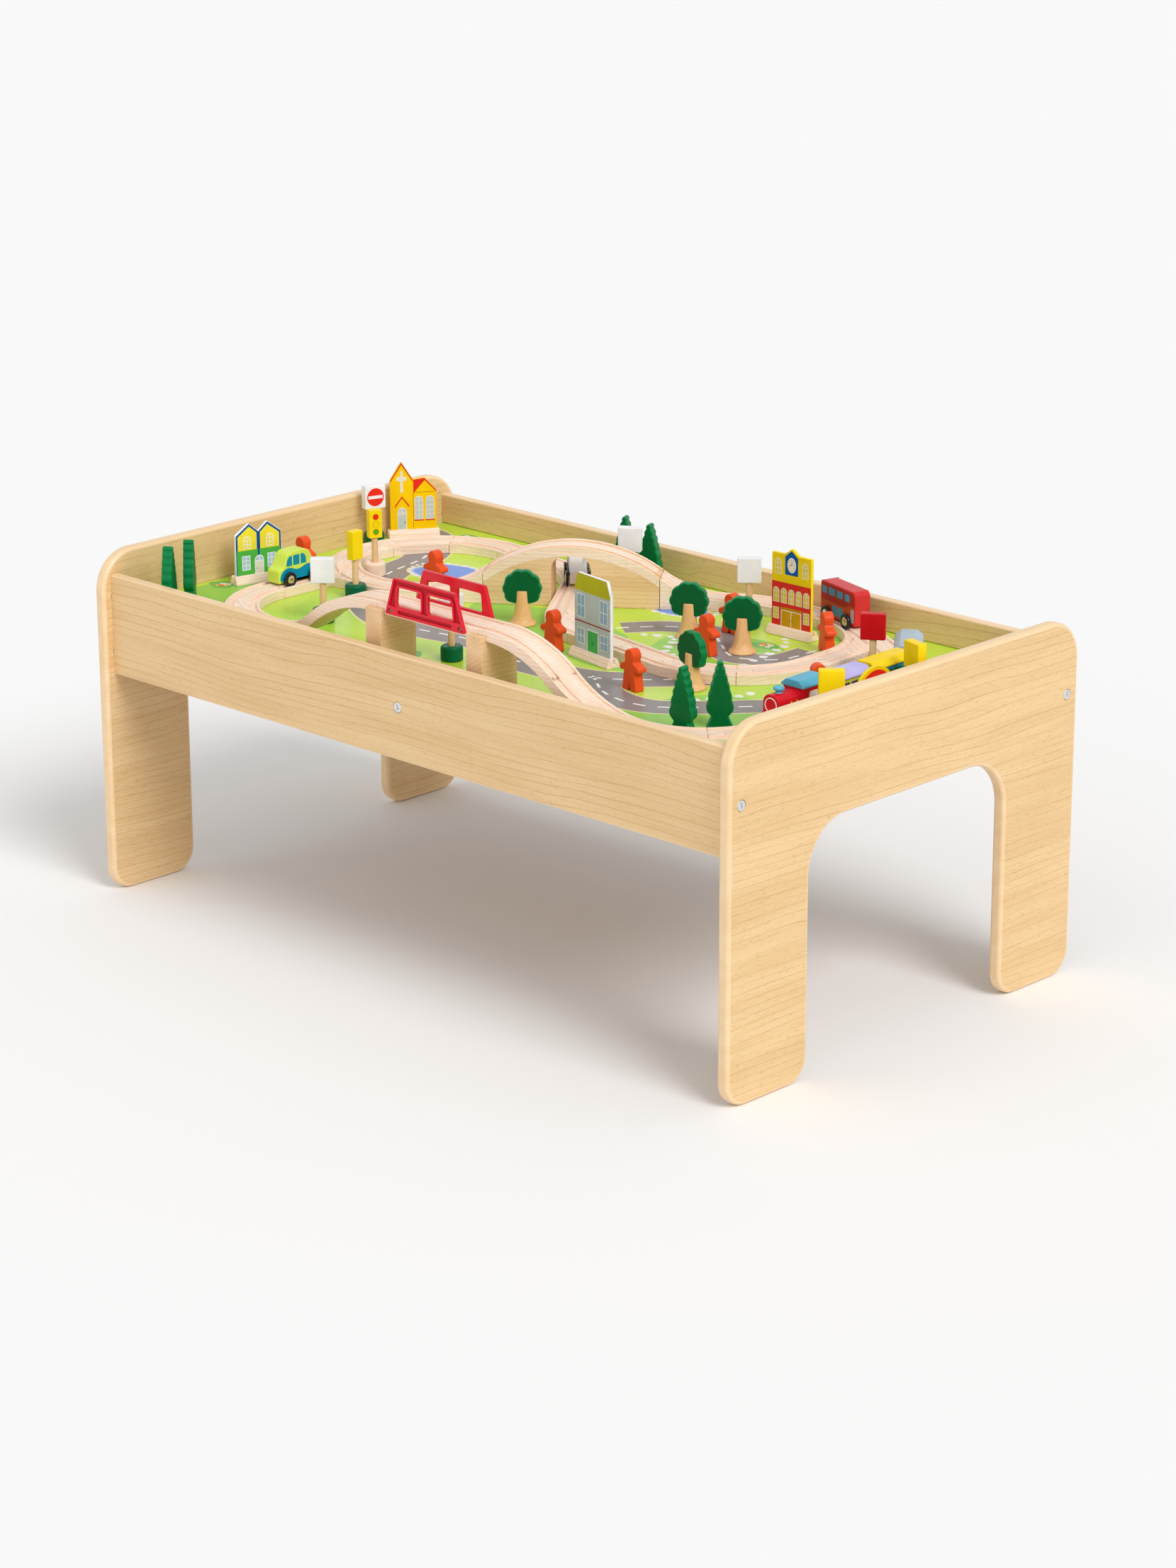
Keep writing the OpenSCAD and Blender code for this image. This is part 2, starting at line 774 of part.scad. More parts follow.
module track_straights() {
    color("bisque") {
        on_board([left_x, front_left.y], 90)
            straight_piece(loop_switch_y - front_left.y);
        on_board(loop_leave, shallow_heading)
            straight_piece(upper_l);
        on_board(under_start, under_heading)
            straight_piece(under_l);
        for (i = [0, 1])
            on_board(lower_start + i * lower_l / 2 * way(shallow_heading), shallow_heading)
                straight_piece(lower_l / 2);
        on_board([right_loop.x + curve_r, right_loop.y], 90)
            straight_piece(yard_centre.y - right_loop.y);
        on_board(back_start, 0)
            straight_piece(right_loop.x - back_start.x);
        on_board([right_x, front_right.y], 90)
            straight_piece(right_l);
    }
}
module track_curves() {
    color("bisque") {
        for (turn = [0, quarter_turn / 2]) {
            on_board(front_left + curve_r * way(-quarter_turn - turn), 2 * quarter_turn - turn)
                right_curve_piece(quarter_turn / 2);
            on_board(front_right + curve_r * way(turn - quarter_turn), turn)
                left_curve_piece(quarter_turn / 2);
        }
        for (i = [1, 2])
            let (h = shallow_heading + i * curve_turn)
                on_board(left_loop + curve_r * way(h + 90), h)
                    right_curve_piece(curve_turn);
        on_board(left_loop + curve_r * way(loop_switch_end), loop_switch_end + 90)
            left_curve_piece(bridge_heading - loop_switch_end + 270);
        on_board(dip_start, shallow_heading)
            right_curve_piece(curve_turn);
        on_board(under_end, under_heading)
            left_curve_piece(curve_turn);
        for (i = [0, 1])
            on_board(right_loop + curve_r * way(shallow_heading - 90 + i * right_loop_turn / 2),
                     shallow_heading + i * right_loop_turn / 2)
                left_curve_piece(right_loop_turn / 2);
        on_board(bridge_end, bridge_heading)
            right_curve_piece(bridge_heading);
        on_board([right_x, corner_centre.y], 90)
            left_curve_piece(corner_turn);
    }
}
// Switches are drawn flat, so that their branches share one top face
module flat_curve(turn, w, shift) {
    translate([0, curve_r])
        rotate(-90)
            intersection() {
                difference() {
                    circle(r = curve_r - shift + w / 2, $fn = 128);
                    circle(r = curve_r - shift - w / 2, $fn = 128);
                }
                polygon([[0, 0], 2 * curve_r * way(0), 3 * curve_r * way(turn / 2), 2 * curve_r * way(turn)]);
            }
}
module flat_grooves(turn, w) {
    for (s = [-1, 1])
        flat_curve(turn, w, s * rail_gauge / 2);
}
module groove_cut() {
    on_tray(track_t - groove_d)
        linear_extrude(groove_d + overrun)
            children();
}
module loop_switch() {
    main_start = left_loop + curve_r * way(loop_switch_top);
    fork = left_loop + curve_r * way(180 + loop_switch_turn);
    end_way = way(loop_switch_end - 2 * gap_turn);
    heel = left_loop + (outer_r - overrun) * end_way;
    toe = left_loop + curve_r * end_way;
    color("bisque")
        difference() {
            union() {
                on_tray(0)
                    linear_extrude(track_t) {
                        translate(main_start)
                            rotate(loop_switch_top + 90)
                                turned(gap_turn)
                                    flat_curve(2 * curve_turn - 2 * gap_turn, track_w, 0);
                        translate([left_x, loop_switch_y])
                            rotate(90)
                                flat_curve(loop_switch_turn, track_w - 2 * switch_ease, 0);
                        polygon([[left_x + track_w / 4, loop_switch_y + overrun], heel, toe, fork]);
                    }
                on_board(main_start, loop_switch_top + 90) {
                    turned(2 * curve_turn)
                        peg(0, track_t);
                    rotate(180)
                        peg(0, track_t);
                }
            }
            groove_cut() {
                translate(main_start)
                    rotate(loop_switch_top + 90)
                        flat_grooves(2 * curve_turn, groove_w);
                translate([left_x, loop_switch_y])
                    rotate(90)
                        flat_grooves(loop_switch_turn, groove_w - 2 * switch_ease);
            }
            on_board([left_x, loop_switch_y], 90)
                socket();
        }
}
module yard_switch() {
    color("bisque")
        difference() {
            on_tray(0)
                linear_extrude(track_t) {
                    translate(yard_centre + [0, curve_r])
                        mirror([0, 1])
                            flat_curve(90, track_w, 0);
                    translate(yard_fork)
                        rotate(-yard_heading)
                            translate([0, switch_ease - track_w / 2])
                                square([yard_arm_l - track_gap, track_w - 2 * switch_ease]);
                }
            groove_cut() {
                translate(yard_centre + [0, curve_r])
                    mirror([0, 1])
                        flat_grooves(90, groove_w);
                translate(yard_fork)
                    rotate(-yard_heading)
                        for (s = [-1, 1])
                            translate([0, s * rail_gauge / 2 + switch_ease - groove_w / 2])
                                square([yard_arm_l, groove_w - 2 * switch_ease]);
            }
            on_board(yard_centre + [0, curve_r], 0)
                socket();
            on_board(yard_centre + [curve_r, 0], 90)
                socket();
            on_board(yard_arm_end, 180 - yard_heading)
                socket();
        }
}

// Overpass: an S-shaped ramp of even thickness is two arcs and a short landing on its pier
module vertical_arc(x, z, start, turn, inner, outer, y, w) {
    translate([x, 0, z])
        rotate([90, 0, 0])
            rotate(start)
                rotate_extrude(angle = turn, $fn = 256)
                    translate([inner, y])
                        square([outer - inner, w]);
}
module ramp_arcs(top_extra, depth, y, w) {
    high_z = deck_rise + track_t - ramp_r;
    vertical_arc(0, ramp_r + track_t, -90, ramp_slope, ramp_r - top_extra, ramp_r + depth, y, w);
    vertical_arc(ramp_curve_l, high_z, 90, ramp_slope, ramp_r - depth, ramp_r + top_extra, y, w);
}
module ramp_core() {
    translate([ramp_curve_l / 2, 0, track_t + deck_rise / 2])
        rotate([0, -ramp_slope, 0])
            translate([-overrun, -track_w / 2 + overrun, overrun - track_t])
                cube([2 * overrun, track_w - 2 * overrun, track_t - 2 * overrun]);
}
module ramp_piece() {
    difference() {
        union() {
            ramp_arcs(0, track_t, -track_w / 2, track_w);
            ramp_core();
            translate([ramp_curve_l, 0, deck_rise])
                along(ramp_landing_l)
                    blank_section();
            rotate(180)
                peg(0, track_t);
        }
        for (y = groove_edges)
            ramp_arcs(overrun, groove_d, y, groove_w);
        translate([ramp_curve_l, 0, deck_rise])
            along(ramp_landing_l + overrun)
                groove_section();
    }
}
module up_ramp() {
    color("bisque")
        on_board([front_left.x, front_y], 0)
            ramp_piece();
}
module down_ramp() {
    color("bisque")
        on_board([front_right.x, front_y], 180)
            ramp_piece();
}
module overpass_deck() {
    color("bisque")
        on_tray(deck_rise)
            translate([deck_mid.x - deck_l / 2, deck_mid.y, 0])
                difference() {
                    translate([track_gap, 0, 0])
                        along(deck_l - 2 * track_gap)
                            blank_section();
                    translate([-overrun, 0, 0])
                        along(deck_l + 2 * overrun)
                            groove_section();
                    railing_screw_bores();
                }
}
module railing_screw_bores() {
    for (x = railing_screw_x, s = [-1, 1])
        translate([deck_l / 2 + x, s * (track_w / 2 + overrun), railing_screw_z])
            rotate([s * 90, 0, 0])
                cylinder(d = screw_d + 2 * dowel_clear, h = screw_l + overrun);
}
railing_screw_inset_share = 0.06;
railing_screw_reach = railing_l / 2 - railing_l * railing_screw_inset_share;
railing_screw_x = [-railing_screw_reach, railing_screw_reach];
railing_screw_z = railing_lift + railing_bar_w / 2;
module overpass_piers() {
    channel_w = track_w + 2 * wood_clear;
    color("burlywood")
        for (s = [-1, 1])
            on_board([deck_mid.x + s * deck_l / 2, deck_mid.y], 0)
                difference() {
                    translate([-pier_w / 2, -pier_d / 2, 0])
                        cube([pier_w, pier_d, deck_rise + pier_cheek_h]);
                    translate([-pier_w / 2 - overrun, -channel_w / 2, deck_rise])
                        cube([pier_w + 2 * overrun, channel_w, pier_cheek_h + overrun]);
                }
}
module railing_window(low_y, high_y) {
    half_post = railing_bar_w / 2;
    low_l = railing_half_l(low_y) - railing_bar_w;
    high_l = railing_half_l(high_y) - railing_bar_w;
    for (m = [0, 1])
        mirror([m, 0])
            polygon([[half_post, low_y], [low_l, low_y], [high_l, high_y], [half_post, high_y]]);
}
function railing_half_l(y) = (railing_l + (railing_top_l - railing_l) * y / railing_h) / 2;
module railing() {
    low_y = 2 * railing_bar_w;
    high_y = railing_h - railing_bar_w;
    rim = railing_bar_w / 3;
    difference() {
        union() {
            linear_extrude(railing_t - rim / 2)
                railing_plate(low_y, high_y);
            linear_extrude(railing_t)
                difference() {
                    railing_plate(low_y + rim, high_y);
                    railing_panel(rim);
                }
        }
        for (x = railing_screw_x)
            translate([x, railing_bar_w / 2, -overrun])
                cylinder(d = screw_d + 2 * dowel_clear, h = railing_t + 2 * overrun);
    }
}
module railing_plate(low_y, high_y) {
    difference() {
        polygon([[-railing_l / 2, 0], [railing_l / 2, 0],
                 [railing_top_l / 2, railing_h], [-railing_top_l / 2, railing_h]]);
        railing_window(low_y, high_y);
    }
}
module railing_panel(rim) {
    panel_l = railing_screw_reach - screw_head_d;
    translate([-panel_l, rim])
        square([2 * panel_l, 2 * (railing_bar_w - rim)]);
}
module deck_railings() {
    color("red")
        for (s = [0, 1])
            on_tray(deck_rise + railing_lift)
                translate(deck_mid)
                    mirror([0, s, 0])
                        translate([0, -track_w / 2, 0])
                            rotate([90, 0, 0])
                                railing();
}
module railing_screws() {
    color("silver")
        for (x = railing_screw_x, s = [-1, 1])
            on_tray(deck_rise + railing_screw_z)
                translate([deck_mid.x + x, deck_mid.y + s * (track_w / 2 + railing_t), 0])
                    rotate([s * 90, 0, 0]) {
                        cylinder(d = screw_d, h = railing_t + screw_l - overrun);
                        translate([0, 0, -hub_h])
                            cylinder(d = screw_head_d, h = hub_h);
                    }
}

// Arch bridge: the crown is one arc and each ramp another, meeting on a common tangent
module crown_region() {
    intersection() {
        translate([-arch_block_l / 2 + track_gap / 2, 0])
            square([arch_block_l - track_gap, bridge_h]);
        translate([0, bridge_h - crown_r])
            circle(crown_r, $fn = 256);
    }
}
module arch_opening() {
    translate([0, -overrun])
        round_rect(arch_w, arch_h + overrun, 0, arch_corner_r);
}
module arch_block() {
    color("navajowhite")
        on_board(bridge_mid, bridge_heading)
            difference() {
                upright(track_w)
                    difference() {
                        crown_region();
                        arch_opening();
                    }
                for (y = groove_edges)
                    vertical_arc(0, bridge_h - crown_r, 0, 180, crown_r - groove_d, crown_r + overrun, y,
                                 groove_w);
            }
}
module bridge_ramp(pegged) {
    difference() {
        union() {
            upright(track_w)
                difference() {
                    square([bridge_ramp_l - track_gap, bridge_h]);
                    translate([0, sag_r + track_t])
                        circle(sag_r, $fn = 256);
                }
            if (pegged)
                rotate(180)
                    peg(0, track_t);
        }
        for (y = groove_edges)
            vertical_arc(0, sag_r + track_t, -90, 90, sag_r - overrun, sag_r + groove_d, y, groove_w);
        if (!pegged)
            socket();
    }
}
module bridge_ramps() {
    color("navajowhite") {
        on_board(bridge_foot, bridge_heading)
            bridge_ramp(false);
        on_board(bridge_end, bridge_heading + 180)
            bridge_ramp(true);
    }
}

// Vehicles: the body heads along +X over the middle of its two axles
module wheelset() {
    color("dimgray")
        rotate([90, 0, 0]) {
            cylinder(d = axle_d, h = rail_gauge, center = true);
            for (s = [0, 1])
                mirror([0, 0, s])
                    translate([0, 0, rail_gauge / 2 - wheel_t / 2]) {
                        cylinder(d = wheel_d, h = wheel_t);
                        cylinder(d1 = hub_d + hub_h, d2 = hub_d, h = wheel_t + hub_h);
                    }
        }
}
module wheels_at(place, x) {
    on_board(place[0], place[1])
        translate([x, 0, axle_z])
            wheelset();
}
module wheel_room(base) {
    for (x = [-base / 2, base / 2])
        translate([x, 0, axle_z]) {
            rotate([90, 0, 0])
                cylinder(d = axle_d + 2 * axle_clear, h = wagon_w + 2 * overrun, center = true);
            for (s = [0, 1])
                mirror([0, s, 0])
                    translate([0, -chassis_w / 2, 0])
                        rotate([90, 0, 0])
                            cylinder(r = wheel_pocket_r, h = wagon_w);
        }
}
module shares_outline(shares, l, h) {
    polygon([for (p = shares) [p.x * l - l / 2, p.y * h]]);
}
module road_body(shares, l, h, base) {
    difference() {
        translate([0, 0, chassis_z])
            upright(car_w)
                shares_outline(shares, l, h - chassis_z);
        wheel_room(base);
    }
}
car_shares = [
    [0, 0], [1, 0], [1, 0.34], [0.96, 0.46], [0.8, 0.53], [0.71, 0.9],
    [0.62, 1], [0.3, 1], [0.2, 0.92], [0.1, 0.52], [0, 0.44]
];
patrol_shares = [
    [0, 0], [1, 0], [1, 0.36], [0.95, 0.44], [0.72, 0.52], [0.6, 0.88],
    [0.52, 0.95], [0.24, 0.95], [0.15, 0.86], [0.06, 0.55], [0, 0.5]
];
beacon_l_share = 0.12;
module car_body() {
    color("yellowgreen")
        on_board(car_place[0], car_place[1])
            road_body(car_shares, car_l, car_h, car_base);
}
module patrol_car_body() {
    color("white")
        on_board(patrol_place[0], patrol_place[1]) {
            road_body(patrol_shares, car_l, patrol_h, car_base);
            translate([-car_l * beacon_l_share, -car_w / 4, chassis_z + (patrol_h - chassis_z) / 2])
                cube([car_l * beacon_l_share, car_w / 2, (patrol_h - chassis_z) / 2]);
        }
}
bus_shares = [[0, 0], [1, 0], [1, 0.9], [0.95, 1], [0.03, 1], [0, 0.95]];
module bus_body() {
    color("firebrick")
        on_board(bus_place[0], bus_place[1])
            road_body(bus_shares, bus_l, bus_h, bus_base);
}
module magnet_at(x) {
    translate([x, 0, axle_z + chassis_clear])
        rotate([0, 90, 0])
            cylinder(d = magnet_d, h = magnet_l);
}
module roof_outline(w) {
    shoulder_share = 0.28;
    polygon([[-w / 2, 0], [w / 2, 0], [w / 2, roof_t * shoulder_share], [w * shoulder_share, roof_t],
             [-w * shoulder_share, roof_t], [-w / 2, roof_t * shoulder_share]]);
}
module roof(l, top) {
    translate([-l / 2 - roof_lip, 0, top - roof_t])
        along(l + 2 * roof_lip)
            roof_outline(wagon_w + 2 * roof_lip);
}
module wagon_body(place) {
    on_board(place[0], place[1])
        difference() {
            union() {
                translate([-wagon_l / 2, -wagon_w / 2, chassis_z + wheel_d / 4])
                    cube([wagon_l, wagon_w, wagon_h - roof_t - chassis_z - wheel_d / 4]);
                translate([-wagon_l / 2, -chassis_w / 2, chassis_z])
                    cube([wagon_l, chassis_w, wheel_d / 4 + overrun]);
                magnet_at(wagon_l / 2);
                magnet_at(-wagon_l / 2 - magnet_l);
            }
            wheel_room(wagon_base);
        }
}
module wagon_roof(place) {
    on_board(place[0], place[1])
        roof(wagon_l, wagon_h);
}
module first_wagon_body() {
    color("khaki") wagon_body(wagon_places[0]);
}
module first_wagon_roof() {
    color("plum") wagon_roof(wagon_places[0]);
}
module second_wagon_body() {
    color("steelblue") wagon_body(wagon_places[1]);
}
module second_wagon_roof() {
    color("gold") wagon_roof(wagon_places[1]);
}
module third_wagon_body() {
    color("whitesmoke") wagon_body(wagon_places[2]);
}
module third_wagon_roof() {
    color("lightsteelblue") wagon_roof(wagon_places[2]);
}
boiler_z = chassis_z + wheel_d / 2;
boiler_top = boiler_z + boiler_w;
cab_x = -loco_l / 2 + cab_l / 2;
module loco_body() {
    beam_l = loco_l / 2 - loco_base / 2 - wheel_pocket_r - wheel_side_clear;
    color("red")
        on_board(loco_place[0], loco_place[1])
            difference() {
                union() {
                    translate([-loco_l / 2, -chassis_w / 2, chassis_z])
                        cube([loco_l, chassis_w, boiler_z - chassis_z + overrun]);
                    translate([loco_l / 2 - beam_l, -wagon_w / 2, chassis_z])
                        cube([beam_l, wagon_w, boiler_z - chassis_z]);
                    translate([-loco_l / 2, 0, boiler_z])
                        along(loco_l - beam_l * beam_bare_share)
                            round_rect(boiler_w, boiler_w, 0, boiler_w * boiler_round_share);
                    translate([cab_x - cab_l / 2, -wagon_w / 2, boiler_z])
                        cube([cab_l, wagon_w, cab_h - roof_t - boiler_z]);
                    magnet_at(-loco_l / 2 - magnet_l);
                }
                wheel_room(loco_base);
            }
}
boiler_round_share = 0.4;
beam_bare_share = 0.75;
module loco_roof() {
    color("skyblue")
        on_board(loco_place[0], loco_place[1])
            translate([cab_x, 0, 0])
                roof(cab_l, cab_h);
}
chimney_back_share = 1.5;
chimney_shares = [[0, 0], [0.3, 0], [0.3, 0.35], [0.5, 0.5], [0.5, 0.85], [0.36, 1], [0, 1]];
module loco_chimney() {
    color("skyblue")
        on_board(loco_place[0], loco_place[1])
            translate([loco_l / 2 - chimney_d * chimney_back_share, 0, boiler_top])
                rotate_extrude()
                    polygon([for (p = chimney_shares) [p.x * chimney_d, p.y * chimney_h]]);
}

// Town: fronts in slotted bars, trees, people and signs
module front_at(i) {
    at_spot(front_shares[i])
        translate([0, 0, bar_h - bar_slot_d])
            upright(front_t)
                children();
}
module church_front() {
    h = church_h - bar_h + bar_slot_d;
    tower_w_share = 0.5;
    tower_eave_share = 0.75;
    nave_eave_share = 0.6;
    nave_ridge_share = 0.77;
    tower_x = church_w * tower_w_share - church_w / 2;
    color("gold")
        front_at(0)
            polygon([[-church_w / 2, 0], [church_w / 2, 0], [church_w / 2, h * nave_eave_share],
                     [(church_w / 2 + tower_x) / 2, h * nave_ridge_share],
                     [tower_x, h * tower_eave_share], [(tower_x - church_w / 2) / 2, h],
                     [-church_w / 2, h * tower_eave_share]]);
}
module twin_house_front() {
    h = house_h - bar_h + bar_slot_d;
    eave_share = 0.8;
    valley_share = 0.84;
    gable_share = 0.2;
    color("seagreen")
        front_at(1)
            polygon([[-house_w / 2, 0], [house_w / 2, 0], [house_w / 2, h * eave_share],
                     [house_w * gable_share, h], [0, h * valley_share], [-house_w * gable_share, h],
                     [-house_w / 2, h * eave_share]]);
}
module hospital_front() {
    h = hospital_h - bar_h + bar_slot_d;
    eave_share = 0.82;
    ridge_share = 0.4;
    color("lightgray")
        front_at(2)
            polygon([[-hospital_w / 2, 0], [hospital_w / 2, 0], [hospital_w / 2, h * eave_share],
                     [hospital_w * ridge_share, h], [-hospital_w * ridge_share, h],
                     [-hospital_w / 2, h * eave_share]]);
}
module school_front() {
    h = school_h - bar_h + bar_slot_d;
    parapet_share = 0.925;
    gable_share = 0.18;
    gable_x = school_w * gable_share;
    color("firebrick")
        front_at(3)
            polygon([[-school_w / 2, 0], [school_w / 2, 0], [school_w / 2, h * parapet_share],
                     [gable_x, h * parapet_share], [0, h], [-gable_x, h * parapet_share],
                     [-school_w / 2, h * parapet_share]]);
}
module shed_front() {
    h = shed_h - bar_h + bar_slot_d;
    color("crimson")
        front_at(4)
            union() {
                translate([-shed_w / 2, 0])
                    square([shed_w, h - shed_w / 2]);
                intersection() {
                    translate([0, h - shed_w / 2])
                        circle(d = shed_w);
                    translate([-shed_w / 2, 0])
                        square([shed_w, h]);
                }
            }
}
module slotted_bar(l) {
    crest_share = 0.28;
    difference() {
        translate([-l / 2, 0, 0])
            along(l)
                polygon([[-bar_w / 2, 0], [bar_w / 2, 0], [bar_w / 2, bar_h * crest_share],
                         [bar_w * crest_share, bar_h], [-bar_w * crest_share, bar_h],
                         [-bar_w / 2, bar_h * crest_share]]);
        translate([-l / 2 - overrun, -front_t / 2 - bar_fit, bar_h - bar_slot_d])
            cube([l + 2 * overrun, front_t + 2 * bar_fit, bar_slot_d + overrun]);
    }
}
bar_lip_share = 0.05;
module house_bars() {
    color("moccasin")
        for (i = [0 : len(front_shares) - 1])
            at_spot(front_shares[i])
                slotted_bar(front_widths[i] * (1 + 2 * bar_lip_share));
}
cypress_lobe_shares = [[0.3, 0.5], [0.46, 0.43], [0.6, 0.35], [0.73, 0.27], [0.85, 0.19]];
cypress_core_shares = [[-0.5, 0], [0.5, 0], [0.4, 0.16], [0.09, 0.95], [-0.09, 0.95], [-0.4, 0.16]];
module cypress_outline() {
    tip_share = 0.11;
    for (lobe = cypress_lobe_shares)
        translate([0, cypress_h * lobe[0]])
            circle(cypress_w * lobe[1]);
    translate([0, cypress_h - cypress_w * tip_share])
        circle(cypress_w * tip_share);
    polygon([for (p = cypress_core_shares) [p.x * cypress_w, p.y * cypress_h]]);
}
module cypress_trees() {
    color("darkgreen")
        for (row = cypress_shares)
            at_spot(row)
                upright(cypress_t)
                    cypress_outline();
}
crown_lobes = 8;
crown_first_turn = -30;
crown_sweep = 240;
crown_low = trunk_h - trunk_slot_d;
module crown_outline() {
    core_share = 0.4;
    ring_share = 0.36;
    lobe_share = 0.13;
    translate([0, tree_h - crown_low - crown_w * (ring_share + lobe_share)]) {
        circle(crown_w * core_share);
        for (i = [0 : crown_lobes - 1])
            rotate(crown_first_turn + i * crown_sweep / (crown_lobes - 1))
                translate([crown_w * ring_share, 0])
                    circle(crown_w * lobe_share);
    }
}
module tree_crowns() {
    color("darkgreen")
        for (row = tree_shares)
            at_spot(row)
                translate([0, 0, crown_low + wood_clear])
                    upright(crown_t)
                        intersection() {
                            crown_outline();
                            translate([-crown_w, 0])
                                square([2 * crown_w, tree_h - crown_low]);
                        }
}
trunk_shares = [[-1, 0], [1, 0], [1, 0.05], [0.58, 0.13], [0.3, 0.28], [0.12, 0.52], [0, 1], [-1, 1]];
function trunk_point(p) = p.x < 0 ? [0, p.y * trunk_h]
                                  : [(trunk_top_d + (trunk_d - trunk_top_d) * p.x) / 2, p.y * trunk_h];
module tree_trunks() {
    color("burlywood")
        for (row = tree_shares)
            at_spot(row)
                difference() {
                    rotate_extrude()
                        polygon([for (p = trunk_shares) trunk_point(p)]);
                    translate([-trunk_d, -crown_t / 2 - bar_fit, crown_low])
                        cube([2 * trunk_d, crown_t + 2 * bar_fit, trunk_slot_d + overrun]);
                }
}
person_leg_shares = [
    [-0.27, 0], [-0.06, 0], [0, 0.16], [0.06, 0], [0.27, 0],
    [0.2, 0.42], [0.16, 0.73], [-0.16, 0.73], [-0.2, 0.42]
];
person_arm_shares = [[0, 0.5], [0.26, 0.46], [0.3, 0.61], [0, 0.74]];
person_hand_shares = [0.28, 0.535, 0.08];
person_head_share = 0.17;
module person_outline() {
    translate([0, person_h * (1 - person_head_share)])
        circle(person_h * person_head_share);
    polygon(person_h * person_leg_shares);
    for (s = [0, 1])
        mirror([s, 0]) {
            polygon(person_h * person_arm_shares);
            translate(person_h * [person_hand_shares[0], person_hand_shares[1]])
                circle(person_h * person_hand_shares[2]);
        }
}
module people() {
    color("orangered")
        for (row = person_shares)
            at_spot(row)
                upright(person_t)
                    person_outline();
}
module sign_heads() {
    for (row = square_sign_shares)
        color("white")
            at_spot(row)
                translate([-sign_w / 2, -sign_t / 2, sign_lift])
                    cube([sign_w, sign_t, sign_h]);
    for (row = light_shares)
        color("gold")
            at_spot(row)
                translate([-light_w / 2, -sign_t / 2, sign_lift])
                    cube([light_w, sign_t, light_h]);
}
module sign_posts() {
    color("tan")
        for (row = concat(square_sign_shares, light_shares))
            at_spot(row)
                translate([0, 0, base_h / 2])
                    cylinder(d = post_d, h = sign_lift - base_h / 2);
}
base_round_share = 0.2;
module sign_bases() {
    round_r = base_h * base_round_share;
    color("darkgreen")
        for (row = concat(square_sign_shares, light_shares))
            at_spot(row)
                difference() {
                    union() {
                        cylinder(d = base_d, h = base_h - round_r);
                        cylinder(d = base_d - 2 * round_r, h = base_h);
                        translate([0, 0, base_h - round_r])
                            rotate_extrude()
                                translate([base_d / 2 - round_r, 0])
                                    circle(round_r);
                    }
                    translate([0, 0, base_h / 2])
                        cylinder(d = post_d + 2 * dowel_clear, h = base_h);
                }
}

left_end_panel();
right_end_panel();
front_side_board();
back_side_board();
play_board();
cross_rail();
bolts();
barrel_nuts();
dowels();
loop_switch();
yard_switch();
track_curves();
track_straights();
up_ramp();
down_ramp();
overpass_deck();
overpass_piers();
deck_railings();
railing_screws();
arch_block();
bridge_ramps();
loco_body();
loco_roof();
loco_chimney();
wheels_at(loco_place, loco_base / 2);  // loco_front_wheels
wheels_at(loco_place, -loco_base / 2);  // loco_rear_wheels
first_wagon_body();
first_wagon_roof();
wheels_at(wagon_places[0], wagon_base / 2);  // first_wagon_front_wheels
wheels_at(wagon_places[0], -wagon_base / 2);  // first_wagon_rear_wheels
second_wagon_body();
second_wagon_roof();
wheels_at(wagon_places[1], wagon_base / 2);  // second_wagon_front_wheels
wheels_at(wagon_places[1], -wagon_base / 2);  // second_wagon_rear_wheels
third_wagon_body();
third_wagon_roof();
wheels_at(wagon_places[2], wagon_base / 2);  // third_wagon_front_wheels
wheels_at(wagon_places[2], -wagon_base / 2);  // third_wagon_rear_wheels
car_body();
wheels_at(car_place, car_base / 2);  // car_front_wheels
wheels_at(car_place, -car_base / 2);  // car_rear_wheels
patrol_car_body();
wheels_at(patrol_place, car_base / 2);  // patrol_car_front_wheels
wheels_at(patrol_place, -car_base / 2);  // patrol_car_rear_wheels
bus_body();
wheels_at(bus_place, bus_base / 2);  // bus_front_wheels
wheels_at(bus_place, -bus_base / 2);  // bus_rear_wheels
church_front();
twin_house_front();
hospital_front();
school_front();
shed_front();
house_bars();
cypress_trees();
tree_crowns();
tree_trunks();
people();
sign_heads();
sign_posts();
sign_bases();
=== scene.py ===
import json
import math
import random
import bmesh
import bpy
from mathutils import Matrix, Vector

